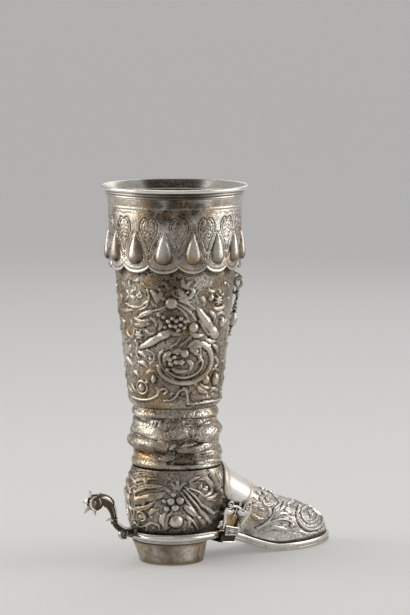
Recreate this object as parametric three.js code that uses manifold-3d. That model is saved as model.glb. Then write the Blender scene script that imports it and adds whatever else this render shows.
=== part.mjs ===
// A boot-shaped silver drinking cup: a raised leg with a scalloped cuff, a slouched ankle,
// a low shoe on a round heel, and a spur held by a buckled strap. Millimetres, +Z up.
// The origin is the centre of the heel's base on the table, +X points to the toe,
// and -Y is the side that carries the buckle.
import * as THREE from "three";
import Module from "manifold-3d";

// Sheet and fits
const WALL = 1.1;
const SEAM = 0.3;
const RUNNING = 0.09;

// Heel and sole
const HEEL_SEAT_R = 23.6;
const HEEL_INSET = 0.8;
const HEEL_TAPER = 3.4;
const HEEL_TOP_R = HEEL_SEAT_R - HEEL_INSET;
const HEEL_BASE_R = HEEL_TOP_R - HEEL_TAPER;
const HEEL_PLATE_T = 1.2;
const HEEL_LEAN = 1.2;
const HEEL_TOP_Z = 13.3;
const SOLE_T = 4.6;
const SOLE_FLOOR_T = 1.3;
const WAIST_X = 40;
const WAIST_HALF = 14.3;
const BALL_X = 80;
const BALL_HALF = 18.8;
const TOE_X = 116.2;
const TOE_SPRING = 1.2;
const ARCH_BACK_X = 22;
const ARCH_FRONT_X = 72;
const WELT = 1.6;
const SEAT_WELT = 1.3;

// Shoe upper
const THROAT_X = 3.8;
const THROAT_OUT = 3.2;
const THROAT_R = HEEL_SEAT_R + THROAT_OUT;
const THROAT_Z = 58;
const BACK_SWELL = 9.0;
const BACK_RISE = 15;
const BACK_FLARE = 6;
const SIDE_SWELL = 3.6;
const INSTEP_REACH = 33.6;
const INSTEP_DROP = 30.5;
const TOE_HEIGHT = 25;
const TOE_BLUNT = 2.2;

// Cuff, bosses and lip
const COLLAR_Z = 221;
const LIP_TALL = 6;
const LINE_DROP = 5.5;
const CUFF_TALL = 43.5;
const SCALLOP_TALL = 3.8;
const LIP_Z = COLLAR_Z + LIP_TALL;
const LINE_Z = COLLAR_Z - LINE_DROP;
const HEM_TIP_Z = COLLAR_Z - CUFF_TALL;
const HEM_CUSP_Z = HEM_TIP_Z + SCALLOP_TALL;
const CUFF_TOP_R = 40.7;
const CUFF_FLARE = 0.8;
const HEM_TAPER = 0.6;
const LIP_REACH = 3.5;
const CUFF_R = CUFF_TOP_R - CUFF_FLARE;
const HEM_R = CUFF_R - HEM_TAPER;
const LIP_R = CUFF_TOP_R + LIP_REACH;
const BOSS_COUNT = 15;
const BOSS_LENGTH = 17.8;
const BOSS_WIDTH = 8.7;
const BOSS_RISE = 2.7;
const BOSS_FOOT_UP = 5.3;
const BOSS_FOOT_Z = HEM_TIP_Z + BOSS_FOOT_UP;
const BOSS_FIRST = THREE.MathUtils.degToRad(177.6);
const BOSS_DRIFT = THREE.MathUtils.degToRad(3.2);

// Leg
const LEG_X = 2.6;
const ANKLE_INSET = 1.9;
const ANKLE_R = THROAT_R - ANKLE_INSET;
const ANKLE_TOP_Z = 94.5;
const SPIGOT_H = 3.6;
const LEG_FOOT_R = ANKLE_R;
const LEG_FOOT_FLARE = 3.4;
const LEG_FOOT_TALL = 9.5;
const LEG_INSET = 2;
const LEG_NECK_TALL = 8;
const LEG_LOW_R = ANKLE_R + LEG_FOOT_FLARE;
const LEG_LOW_Z = ANKLE_TOP_Z + LEG_FOOT_TALL;
const LEG_TOP_R = CUFF_TOP_R - LEG_INSET;
const LEG_TOP_Z = COLLAR_Z - LEG_NECK_TALL;
const LEG_BOW = 0.6;

// Spur
const YOKE_THICK = 3.2;
const YOKE_TALL = 4.7;
const YOKE_Z = 17.1;
const YOKE_ARM_X = 15;
const YOKE_ARM_IN = 1.4;
const HEAD_R = 4.7;
const CHEEK_T = 1.1;
const ROWEL_R = 8.4;
const ROWEL_T = 1.1;
const ROWEL_POINTS = 6;
const ROWEL_HUB_R = 2.4;
const PIN_R = 0.9;
const PIN_HEAD_R = 1.6;
const PIN_HEAD_T = 0.8;
const ROWEL_FIRST = THREE.MathUtils.degToRad(164.5);
const ROWEL_AT = new THREE.Vector3(-56.1, 0, 40.2);
const HEAD_AT = new THREE.Vector3(-54.4, 0, 40.2);
const VOLUTE_R = 3.9;
const NECK_HALF = 3.3;

// Straps and buckle
const STRAP_X = 33.3;
const STRAP_BOW = 8;
const STRAP_W = 23;
const STRAP_RIB = 3.6;
const STRAP_TAIL_W = 11;
const STRAP_T = 1.2;
const STRAP_SHOULDER = 8.2;
const SOLE_STRAP_W = 11.8;
const SOLE_STRAP_SHIFT = 2.9;
const SOLE_STRAP_T = 2.2;
const BUCKLE_T = 1.8;
const BUCKLE_LEAN = THREE.MathUtils.degToRad(19);
const BUCKLE_AT = new THREE.Vector2(31.5, 27.0);
const BUCKLE_HALF = 8;

// Leg ornament
const ORNAMENT_TURN = THREE.MathUtils.degToRad(-20);
const RING_DROP = 53.1;
const RING_Z = COLLAR_Z - RING_DROP;
const BEAD_R = 1;

const AROUND = 44;
const ROUND = 44;
const SHOE_ROWS = 12;

const wasm = await Module();
wasm.setup();

function solidOf(geometry) {
  const plain = new THREE.BufferGeometry();
  const source = geometry.index ? geometry.toNonIndexed() : geometry;
  plain.setAttribute("position", source.getAttribute("position"));
  const keys = new Map();
  const vertices = [];
  const triangles = [];
  const place = plain.getAttribute("position");
  for (let i = 0; i < place.count; i++) {
    const key = [place.getX(i), place.getY(i), place.getZ(i)].map((v) => Math.round(v * 1e4)).join();
    if (!keys.has(key)) {
      keys.set(key, vertices.length / 3);
      vertices.push(place.getX(i), place.getY(i), place.getZ(i));
    }
    triangles.push(keys.get(key));
  }
  const kept = [];
  for (let i = 0; i < triangles.length; i += 3) {
    const [a, b, c] = triangles.slice(i, i + 3);
    if (a !== b && b !== c && c !== a) kept.push(a, b, c);
  }
  return new wasm.Manifold(
    new wasm.Mesh({
      numProp: 3,
      vertProperties: new Float32Array(vertices),
      triVerts: new Uint32Array(kept),
    }),
  );
}

function geometryOf(solid) {
  const mesh = solid.getMesh();
  const place = new Float32Array(mesh.numVert * 3);
  for (let i = 0; i < mesh.numVert; i++) {
    place.set(mesh.vertProperties.subarray(i * mesh.numProp, i * mesh.numProp + 3), i * 3);
  }
  const geometry = new THREE.BufferGeometry();
  geometry.setAttribute("position", new THREE.BufferAttribute(place, 3));
  geometry.setIndex(new THREE.BufferAttribute(mesh.triVerts, 1));
  geometry.computeVertexNormals();
  return geometry;
}

// A skin through rings of equal count. With wrap the last ring joins the first, as on a
// tube with a wall; otherwise both ends are capped.
function skin(rings, wrap) {
  const n = rings[0].length;
  const place = rings.flat().flatMap((p) => [p.x, p.y, p.z]);
  const index = [];
  const last = wrap ? rings.length : rings.length - 1;
  for (let i = 0; i < last; i++) {
    const low = i * n;
    const high = ((i + 1) % rings.length) * n;
    for (let j = 0; j < n; j++) {
      const k = (j + 1) % n;
      index.push(low + j, low + k, high + k, low + j, high + k, high + j);
    }
  }
  if (!wrap) {
    for (const [at, turn] of [[0, false], [rings.length - 1, true]]) {
      const centre = new THREE.Vector3();
      rings[at].forEach((p) => centre.addScaledVector(p, 1 / n));
      const hub = place.length / 3;
      place.push(centre.x, centre.y, centre.z);
      for (let j = 0; j < n; j++) {
        const k = (j + 1) % n;
        if (turn) index.push(hub, at * n + j, at * n + k);
        else index.push(hub, at * n + k, at * n + j);
      }
    }
  }
  const geometry = new THREE.BufferGeometry();
  geometry.setAttribute("position", new THREE.Float32BufferAttribute(place, 3));
  geometry.setIndex(index);
  geometry.computeVertexNormals();
  return geometry;
}

// LatheGeometry turns about Y; here the axis is Z and the profile is (radius, z) pairs.
function lathe(profile, sides, x = 0) {
  const points = profile.map(([r, z]) => new THREE.Vector2(r, z));
  const geometry = new THREE.LatheGeometry(points, sides);
  geometry.rotateX(Math.PI / 2);
  geometry.translate(x, 0, 0);
  return geometry;
}

function closed(profile) {
  return [...profile, profile[0]];
}

// A bar along a curve whose oval section is size(t) = [half width in the bend, half width across].
function bar(curve, steps, sides, across, size) {
  const rings = [];
  for (let i = 0; i <= steps; i++) {
    const t = i / steps;
    const along = curve.getTangentAt(t);
    const side = new THREE.Vector3().crossVectors(along, across).normalize();
    const [a, b] = size(t);
    const centre = curve.getPointAt(t);
    const ring = [];
    for (let j = 0; j < sides; j++) {
      const turn = (2 * Math.PI * j) / sides;
      const p = centre.clone();
      p.addScaledVector(side, a * Math.cos(turn));
      p.addScaledVector(across, -b * Math.sin(turn));
      ring.push(p);
    }
    rings.push(ring);
  }
  return skin(rings, false);
}

function box(x, y, z) {
  return new THREE.BoxGeometry(x, y, z);
}

// Sole: outline, profile and tray

function outline(seatR, waistHalf, ballHalf, toeX) {
  const turn = THREE.MathUtils.degToRad(70);
  const hip = new THREE.Vector2(Math.cos(turn), Math.sin(turn)).multiplyScalar(seatR);
  const lead = new THREE.Vector2(Math.sin(turn), -Math.cos(turn)).multiplyScalar(9).add(hip);
  const shape = new THREE.Shape();
  shape.absarc(0, 0, seatR, turn, 2 * Math.PI - turn, false);
  shape.bezierCurveTo(lead.x, -lead.y, WAIST_X - 11, -waistHalf, WAIST_X, -waistHalf);
  shape.bezierCurveTo(WAIST_X + 12, -waistHalf, BALL_X - 14, -ballHalf, BALL_X, -ballHalf);
  shape.bezierCurveTo(toeX - 20, -ballHalf, toeX, -8, toeX, 0);
  shape.bezierCurveTo(toeX, 8, toeX - 20, ballHalf, BALL_X, ballHalf);
  shape.bezierCurveTo(BALL_X - 14, ballHalf, WAIST_X + 12, waistHalf, WAIST_X, waistHalf);
  shape.bezierCurveTo(WAIST_X - 11, waistHalf, lead.x, lead.y, hip.x, hip.y);
  return shape;
}

function soleUnderside(x) {
  const arch = THREE.MathUtils.smoothstep(x, ARCH_BACK_X, ARCH_FRONT_X);
  const toe = THREE.MathUtils.clamp((x - BALL_X) / (TOE_X - BALL_X), 0, 1);
  return HEEL_TOP_Z * (1 - arch) + TOE_SPRING * toe * toe;
}

function outlinePrism(grow, low, high) {
  const shape = outline(
    HEEL_SEAT_R + grow,
    WAIST_HALF + grow,
    BALL_HALF + grow,
    TOE_X + grow,
  );
  const geometry = new THREE.ExtrudeGeometry(shape, {
    depth: high - low,
    bevelEnabled: false,
    curveSegments: 9,
  });
  geometry.translate(0, 0, low);
  return solidOf(geometry);
}

// Everything between two heights above the underside, right across the foot.
function profileBand(low, high) {
  const steps = 22;
  const backX = -HEEL_SEAT_R - 5;
  const frontX = TOE_X + 5;
  const points = [];
  for (let i = 0; i <= steps; i++) {
    const x = THREE.MathUtils.lerp(ARCH_BACK_X, ARCH_FRONT_X + 8, i / steps);
    points.push(new THREE.Vector2(x, soleUnderside(x)));
  }
  points.unshift(new THREE.Vector2(backX, soleUnderside(backX)));
  points.push(new THREE.Vector2((BALL_X + TOE_X) / 2, soleUnderside((BALL_X + TOE_X) / 2)));
  points.push(new THREE.Vector2(frontX, soleUnderside(frontX)));
  const shape = new THREE.Shape();
  points.forEach((p, i) => (i ? shape.lineTo(p.x, p.y + low) : shape.moveTo(p.x, p.y + low)));
  points.reverse().forEach((p) => shape.lineTo(p.x, p.y + high));
  const width = 80;
  const geometry = new THREE.ExtrudeGeometry(shape, { depth: width, bevelEnabled: false });
  geometry.rotateX(Math.PI / 2);
  geometry.translate(0, width / 2, 0);
  return solidOf(geometry);
}

function makeSole() {
  const plate = outlinePrism(0, -1, 20).intersect(profileBand(0, SOLE_T));
  const ledge = WELT + WALL + 1.2;
  const recess = outlinePrism(-ledge, -1, 30).intersect(profileBand(SOLE_FLOOR_T, 30));
  return plate.subtract(recess);
}

function makeHeel() {
  const foot = HEEL_PLATE_T;
  const geometry = lathe(
    closed([
      [HEEL_BASE_R - WALL, foot],
      [HEEL_BASE_R, foot],
      [HEEL_BASE_R + 0.15, foot + 0.6],
      [HEEL_TOP_R, HEEL_TOP_Z],
      [HEEL_TOP_R - WALL, HEEL_TOP_Z],
    ]),
    ROUND,
  );
  const place = geometry.getAttribute("position");
  for (let i = 0; i < place.count; i++) {
    const rise = (place.getZ(i) - foot) / (HEEL_TOP_Z - foot);
    place.setX(i, place.getX(i) - HEEL_LEAN * rise);
  }
  return solidOf(geometry);
}

function makeHeelPlate() {
  const chamfer = 0.3;
  return solidOf(
    lathe(
      [
        [0, 0],
        [HEEL_BASE_R - chamfer, 0],
        [HEEL_BASE_R, chamfer],
        [HEEL_BASE_R, HEEL_PLATE_T],
        [0, HEEL_PLATE_T],
      ],
      ROUND,
    ),
  );
}

// Shoe upper: meridians from the round throat down to the footprint on the sole

const footprint = outline(
  HEEL_SEAT_R - SEAT_WELT,
  WAIST_HALF - SEAT_WELT,
  BALL_HALF - WELT,
  TOE_X - WELT,
)
  .getPoints(24)
  .filter((p) => p.y >= -1e-6)
  .sort((a, b) => a.x - b.x);

function footprintHalf(x) {
  const at = footprint.findIndex((p) => p.x >= x);
  if (at <= 0) return 0;
  const a = footprint[at - 1];
  const b = footprint[at];
  const mix = (x - a.x) / Math.max(b.x - a.x, 1e-9);
  return THREE.MathUtils.lerp(a.y, b.y, mix);
}

function meridian(turn) {
  const c = Math.cos(turn);
  const s = Math.sin(turn);
  const front = Math.max(c, 0);
  const back = Math.max(-c, 0);
  const top = new THREE.Vector3(THROAT_X + THROAT_R * c, THROAT_R * s, THROAT_Z);
  const reach = c > 0 ? TOE_X - WELT - THROAT_X : THROAT_X + HEEL_SEAT_R - SEAT_WELT;
  const x = THROAT_X + reach * c * 0.9999;
  const foot = new THREE.Vector3(x, Math.sign(s) * footprintHalf(x), soleUnderside(x) + SOLE_T - 1);
  if (Math.abs(s) < 1e-6) foot.y = 0;
  const pull = front ** 1.6;
  const fromTop = top.clone();
  fromTop.x += INSTEP_REACH * pull - BACK_FLARE * back;
  fromTop.y += 0.6 * s;
  fromTop.z += -INSTEP_DROP * pull - 10 * (1 - pull);
  const fromFoot = foot.clone();
  fromFoot.x += -TOE_BLUNT * pull - BACK_SWELL * back;
  fromFoot.y += SIDE_SWELL * s * (1 - 0.4 * front);
  fromFoot.z += TOE_HEIGHT * pull + BACK_RISE * (1 - pull);
  return new THREE.CubicBezierCurve3(top, fromTop, fromFoot, foot);
}

// The shoe's surface moved outwards by grow, from the sole up to the throat.
function shoeRing(t, grow) {
  const ring = [];
  const step = 1e-3;
  for (let j = 0; j < AROUND; j++) {
    const turn = (2 * Math.PI * j) / AROUND;
    const curve = meridian(turn);
    const p = curve.getPoint(t);
    const down = curve.getTangent(t);
    const round = meridian(turn + step).getPoint(t).sub(meridian(turn - step).getPoint(t));
    const normal = new THREE.Vector3().crossVectors(down, round).normalize();
    ring.push(p.addScaledVector(normal, grow));
  }
  return ring;
}

function shoeRings(rows, grow) {
  const rings = [];
  for (let i = rows; i >= 0; i--) {
    rings.push(shoeRing(i / rows, grow));
  }
  return rings;
}

function shoeShell(inner, outer) {
  const rings = [...shoeRings(SHOE_ROWS, outer), ...shoeRings(SHOE_ROWS, inner).reverse()];
  return solidOf(skin(rings, true)).subtract(profileBand(-40, SOLE_T + SEAM));
}

// A block right through the foot, drawn in the buckle's own leaning frame.
function leaning(from, to, low, high) {
  const geometry = box(to - from, 120, high - low);
  geometry.translate((from + to) / 2, 0, (low + high) / 2);
  geometry.rotateY(BUCKLE_LEAN);
  geometry.translate(BUCKLE_AT.x, 0, BUCKLE_AT.y);
  return solidOf(geometry);
}

// A block across the foot whose two faces bow towards the toe over the instep.
function bowed(from, to) {
  const half = 32;
  const steps = 16;
  const shape = new THREE.Shape();
  const at = (y) => STRAP_X + STRAP_BOW * Math.max(0, 1 - (y / HEEL_SEAT_R) ** 2);
  for (let i = 0; i <= steps; i++) {
    const y = THREE.MathUtils.lerp(-half, half, i / steps);
    if (i) shape.lineTo(at(y) + to, y);
    else shape.moveTo(at(y) + to, y);
  }
  for (let i = steps; i >= 0; i--) {
    const y = THREE.MathUtils.lerp(-half, half, i / steps);
    shape.lineTo(at(y) + from, y);
  }
  const geometry = new THREE.ExtrudeGeometry(shape, { depth: 80, bevelEnabled: false });
  return solidOf(geometry);
}

const HALF_AT_STRAP = footprintHalf(BUCKLE_AT.x - 4) + SEAT_WELT + 1.2;
const upper = shoeShell(-WALL, 0);

function makeCounter() {
  return upper.intersect(bowed(-100, -SEAM / 2));
}

function makeVamp() {
  return upper.intersect(bowed(SEAM / 2, 120));
}

function makeInstepStrap() {
  const half = STRAP_W / 2;
  const body = bowed(-half, half).intersect(leaning(-90, 90, STRAP_SHOULDER, 90));
  const tail = leaning(-STRAP_TAIL_W / 2, STRAP_TAIL_W / 2, -40, STRAP_SHOULDER + 1);
  const wrap = shoeShell(SEAM, SEAM + STRAP_T).intersect(body.add(tail));
  const panel = bowed(STRAP_RIB - half, half - STRAP_RIB);
  const sunk = shoeShell(SEAM + STRAP_T - 0.35, SEAM + STRAP_T + 2).intersect(panel);
  const above = box(200, 120, 40);
  above.translate(0, 0, THROAT_Z + 20);
  return wrap.subtract(sunk).subtract(solidOf(above)).subtract(profileBand(-40, SOLE_T + 1.2));
}

function makeSoleStrap() {
  const back = SOLE_STRAP_SHIFT - SOLE_STRAP_W / 2;
  const drop = SEAM + SOLE_STRAP_T;
  const outer = outlinePrism(SEAM + STRAP_T, -2, 40).intersect(profileBand(-drop, SOLE_T - 0.6));
  const inner = outlinePrism(SEAM, -3, 50).intersect(profileBand(-SEAM, 50));
  return outer.subtract(inner).intersect(leaning(back, back + SOLE_STRAP_W, -60, 20));
}

// Buckle: openwork plates that follow the shoe's near side. Their outlines are drawn flat,
// leaned with the strap and pushed through the shoe's side.

const BUCKLE_BACK = 2 * SEAM + STRAP_T;

function throughSide(shape, inner, outer) {
  const geometry = new THREE.ExtrudeGeometry(shape, {
    depth: 60,
    bevelEnabled: false,
    curveSegments: 7,
  });
  geometry.rotateX(Math.PI / 2);
  geometry.rotateY(BUCKLE_LEAN);
  geometry.translate(BUCKLE_AT.x, 0, BUCKLE_AT.y);
  return solidOf(geometry).intersect(shoeShell(inner, outer));
}

function disc(x, y, r) {
  const shape = new THREE.Shape();
  shape.absarc(x, y, r, 0, 2 * Math.PI, false);
  return shape;
}

// Points in parts of the buckle's half width
function polygon(path, points) {
  return path.setFromPoints(
    points.map(([x, y]) => new THREE.Vector2(x, y).multiplyScalar(BUCKLE_HALF)),
  );
}

function makeBuckleFrame() {
  const inner = BUCKLE_BACK;
  const outer = BUCKLE_BACK + BUCKLE_T;
  const curls = [
    [-0.81, 0.79, 0.34],
    [0.98, 0.91, 0.39],
    [-1.06, -0.85, 0.23],
    [1.39, -0.56, 0.28],
  ].map((spot) => spot.map((part) => part * BUCKLE_HALF));
  const shape = polygon(new THREE.Shape(), [
    [-0.98, 0.7],
    [-0.86, 0.3],
    [-0.9, -0.2],
    [-1.1, -0.73],
    [-0.8, -0.78],
    [1.03, -0.7],
    [1.45, -0.53],
    [1.27, 0.1],
    [1.2, 0.78],
    [0.65, 0.93],
    [0.13, 0.8],
    [-0.35, 0.9],
  ]);
  const window = [
    [-0.55, 0.17],
    [0.9, 0.27],
    [0.93, -0.1],
    [1.03, -0.45],
    [-0.65, -0.53],
  ];
  shape.holes.push(polygon(new THREE.Path(), window));
  let frame = throughSide(shape, inner, outer);
  for (const [x, y, r] of curls) {
    frame = frame.add(throughSide(disc(x, y, r), inner, outer));
  }
  for (const [x, y, r] of curls) {
    frame = frame.subtract(throughSide(disc(x, y, r * 0.34), inner - 1, outer + 1));
  }
  return frame;
}

function makeBuckleTongue() {
  const shape = polygon(new THREE.Shape(), [
    [0.02, 0.16],
    [-0.03, -0.15],
    [0.16, -0.4],
    [0.33, -0.13],
    [0.3, 0.19],
  ]);
  return throughSide(shape, BUCKLE_BACK, BUCKLE_BACK + 1.2);
}

function makeStrapEnd() {
  const shape = polygon(new THREE.Shape(), [
    [-0.33, -0.81],
    [-0.3, -1.65],
    [1.03, -1.45],
    [0.88, -0.76],
  ]);
  const thick = 1.4;
  const back = HALF_AT_STRAP + 2 * SEAM + STRAP_T;
  const geometry = new THREE.ExtrudeGeometry(shape, { depth: thick, bevelEnabled: false });
  geometry.rotateX(Math.PI / 2);
  geometry.rotateY(BUCKLE_LEAN);
  geometry.translate(BUCKLE_AT.x, -back, BUCKLE_AT.y);
  return solidOf(geometry);
}

// Ankle: slouched folds between the throat and the leg

function foldSwell(turn, z) {
  const front = (1 + Math.cos(turn)) / 2;
  const back = 1 - front;
  const rolls = [
    { z: 90.6, rise: 1.3, half: 3.0 },
    { z: 80.2 - 1.5 * back, rise: 1.2 + 2.2 * front, half: 5.2 },
    { z: 66.6 + 7.2 * back, rise: 2.4 + 0.8 * back, half: 4.6 },
    { z: 61.2, rise: 0.7, half: 2.0 },
  ];
  let swell = 0;
  for (const roll of rolls) {
    const away = Math.abs(z - roll.z) / roll.half;
    if (away < 1) swell = Math.max(swell, roll.rise * Math.cos((away * Math.PI) / 2) ** 1.2);
  }
  return swell;
}

function makeAnkle() {
  const sides = 36;
  const low = THROAT_Z + SEAM;
  const ring = (z, radius) => {
    const x = THREE.MathUtils.mapLinear(z, low, ANKLE_TOP_Z, THROAT_X, LEG_X);
    const points = [];
    for (let j = 0; j < sides; j++) {
      const turn = (2 * Math.PI * j) / sides;
      const r = radius(turn, z);
      points.push(new THREE.Vector3(x + r * Math.cos(turn), r * Math.sin(turn), z));
    }
    return points;
  };
  const neck = (z) => ANKLE_R + 1.1 * (1 - THREE.MathUtils.smoothstep(z, low, low + 6));
  const outer = (turn, z) => neck(z) + foldSwell(turn, z);
  const inner = (turn, z) => neck(z) + foldSwell(turn, z) - WALL;
  const lowSpigot = THROAT_R - WALL - SEAM;
  const topSpigot = LEG_FOOT_R - WALL - SEAM;
  const rows = 14;
  const rings = [];
  rings.push(ring(low - SPIGOT_H, () => lowSpigot));
  rings.push(ring(low, () => lowSpigot));
  for (let i = 0; i <= rows; i++) {
    rings.push(ring(THREE.MathUtils.lerp(low, ANKLE_TOP_Z, i / rows), outer));
  }
  rings.push(ring(ANKLE_TOP_Z, () => topSpigot));
  rings.push(ring(ANKLE_TOP_Z + SPIGOT_H, () => topSpigot));
  rings.push(ring(ANKLE_TOP_Z + SPIGOT_H, () => topSpigot - WALL));
  const innerRows = 6;
  for (let i = innerRows; i >= 0; i--) {
    const z = THREE.MathUtils.lerp(low + 1, ANKLE_TOP_Z - 1, i / innerRows);
    rings.push(ring(z, i === innerRows ? () => topSpigot - WALL : i ? inner : () => lowSpigot - WALL));
  }
  rings.push(ring(low - SPIGOT_H, () => lowSpigot - WALL));
  return solidOf(skin(rings, true));
}

// Leg: a tapered tube rounded in at its foot

function legRadius(z) {
  if (z >= LEG_LOW_Z) {
    const up = Math.min((z - LEG_LOW_Z) / (LEG_TOP_Z - LEG_LOW_Z), 1);
    return THREE.MathUtils.lerp(LEG_LOW_R, LEG_TOP_R, up) + LEG_BOW * Math.sin(Math.PI * up);
  }
  const foot = ANKLE_TOP_Z + SEAM;
  const down = THREE.MathUtils.clamp((LEG_LOW_Z - z) / (LEG_LOW_Z - foot), 0, 1);
  return LEG_LOW_R - (LEG_LOW_R - LEG_FOOT_R) * (1 - Math.sqrt(1 - 0.92 * down ** 3)) / (1 - Math.sqrt(0.08));
}

function makeLeg() {
  const foot = ANKLE_TOP_Z + SEAM;
  const levels = [0, 0.25, 0.5, 0.75, 1].map((s) => THREE.MathUtils.lerp(foot, LEG_LOW_Z, s));
  for (const s of [0.2, 0.4, 0.6, 0.8, 1]) {
    levels.push(THREE.MathUtils.lerp(LEG_LOW_Z, LEG_TOP_Z, s));
  }
  levels.push(COLLAR_Z);
  const outer = levels.map((z) => [legRadius(z), z]);
  const inner = levels
    .filter((z, i) => i === 0 || i === 2 || i === 4 || i === 6 || i >= 9)
    .reverse()
    .map((z) => [legRadius(z) - WALL, z]);
  return solidOf(lathe(closed([...outer, ...inner]), ROUND, LEG_X));
}

// Cuff: a sleeve with a scalloped hem and a raised drop over each scallop

// The bosses are spaced by hand: their turns drift from even steps by a few degrees.
function drift(turn) {
  return BOSS_DRIFT * Math.sin(2 * turn - 1.19);
}

function bossTurn(i) {
  const even = BOSS_FIRST + (2 * Math.PI * i) / BOSS_COUNT;
  return even + drift(even);
}

function shareOfPitch(turn) {
  const even = turn - drift(turn - drift(turn));
  const share = ((even - BOSS_FIRST) / (2 * Math.PI)) * BOSS_COUNT;
  return share - Math.round(share);
}

function hemZ(turn) {
  const bow = 1 - Math.sqrt(1 - (1.9 * shareOfPitch(turn)) ** 2);
  return HEM_TIP_Z + ((HEM_CUSP_Z - HEM_TIP_Z) * bow) / (1 - Math.sqrt(1 - 0.95 ** 2));
}

function makeCuff() {
  const columns = BOSS_COUNT * 6;
  const ring = (z, r) => {
    const points = [];
    for (let j = 0; j < columns; j++) {
      const even = BOSS_FIRST + (2 * Math.PI * j) / columns;
      const turn = even + drift(even);
      points.push(new THREE.Vector3(LEG_X + r * Math.cos(turn), r * Math.sin(turn), z ?? hemZ(turn)));
    }
    return points;
  };
  const rings = [
    ring(null, HEM_R),
    ring(HEM_CUSP_Z + 1.5, HEM_R + 0.25),
    ring(LINE_Z - 0.7, CUFF_R),
    ring(LINE_Z, CUFF_R + 0.35),
    ring(LINE_Z + 0.7, CUFF_R),
    ring(COLLAR_Z, CUFF_TOP_R),
  ];
  let cuff = solidOf(skin(rings, false));
  for (let i = 0; i < BOSS_COUNT; i++) {
    cuff = cuff.add(bossSolid(bossTurn(i)));
  }
  const bore = lathe(
    [
      [0, HEM_TIP_Z - 9],
      [HEM_R - WALL, HEM_TIP_Z - 9],
      [HEM_R - WALL, HEM_CUSP_Z],
      [LEG_TOP_R + SEAM, LEG_TOP_Z],
      [LEG_TOP_R + SEAM, COLLAR_Z + 1],
      [0, COLLAR_Z + 1],
    ],
    ROUND,
    LEG_X,
  );
  return cuff.subtract(solidOf(bore));
}

function bossSolid(turn) {
  const half = BOSS_WIDTH / 2;
  const drop = new THREE.CubicBezierCurve(
    new THREE.Vector2(0, 0),
    new THREE.Vector2(half * 1.45, -0.4),
    new THREE.Vector2(half * 1.15, BOSS_LENGTH * 0.45),
    new THREE.Vector2(0, BOSS_LENGTH),
  );
  const profile = drop.getPoints(5).map((p) => [Math.max(p.x, 0), p.y]);
  const geometry = lathe(profile, 10);
  const wall = CUFF_R - 0.25;
  geometry.scale((BOSS_RISE + 0.5) / half, 1, 1);
  geometry.translate(wall - 0.4, 0, BOSS_FOOT_Z);
  geometry.rotateZ(turn);
  geometry.translate(LEG_X, 0, 0);
  return solidOf(geometry);
}

function makeRimLip() {
  const mouth = LEG_TOP_R - WALL;
  return solidOf(
    lathe(
      closed([
        [mouth, COLLAR_Z],
        [CUFF_TOP_R, COLLAR_Z],
        [CUFF_TOP_R + 0.6, COLLAR_Z + 0.7],
        [CUFF_TOP_R + 0.2, COLLAR_Z + 1.4],
        [CUFF_TOP_R + 0.9, COLLAR_Z + 2.2],
        [CUFF_TOP_R + 0.7, COLLAR_Z + 3.2],
        [LIP_R - 0.9, COLLAR_Z + 3.7],
        [LIP_R, COLLAR_Z + 4.6],
        [LIP_R - 0.2, LIP_Z - 0.4],
        [LIP_R - 0.8, LIP_Z],
        [LIP_R - 1.8, LIP_Z - 0.5],
        [mouth + 1.7, COLLAR_Z + 2.4],
      ]),
      ROUND,
      LEG_X,
    ),
  );
}

// Spur: heel yoke, swan neck with a forked head, rowel and its pin

class YokeCurve extends THREE.Curve {
  getPoint(t) {
    const r = HEEL_SEAT_R + SEAM + YOKE_THICK / 2;
    const arc = Math.PI * r;
    const s = t * (arc + 2 * YOKE_ARM_X);
    const inward = (x) => r - YOKE_ARM_IN * (x / YOKE_ARM_X) ** 2;
    if (s < YOKE_ARM_X) {
      const x = YOKE_ARM_X - s;
      return new THREE.Vector3(x, -inward(x), YOKE_Z);
    }
    if (s > YOKE_ARM_X + arc) {
      const x = s - YOKE_ARM_X - arc;
      return new THREE.Vector3(x, inward(x), YOKE_Z);
    }
    const turn = -Math.PI / 2 - (s - YOKE_ARM_X) / r;
    return new THREE.Vector3(r * Math.cos(turn), r * Math.sin(turn), YOKE_Z);
  }
}

function makeSpurYoke() {
  const up = new THREE.Vector3(0, 0, 1);
  const end = 0.025;
  const size = (t) => {
    const away = Math.min(t, 1 - t) / end;
    const full = away >= 1 ? 1 : Math.sqrt(1 - (1 - away) ** 2) * 0.85 + 0.15;
    return [(YOKE_THICK / 2) * full, (YOKE_TALL / 2) * full];
  };
  return solidOf(bar(new YokeCurve(), 36, 8, up, size));
}

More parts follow.
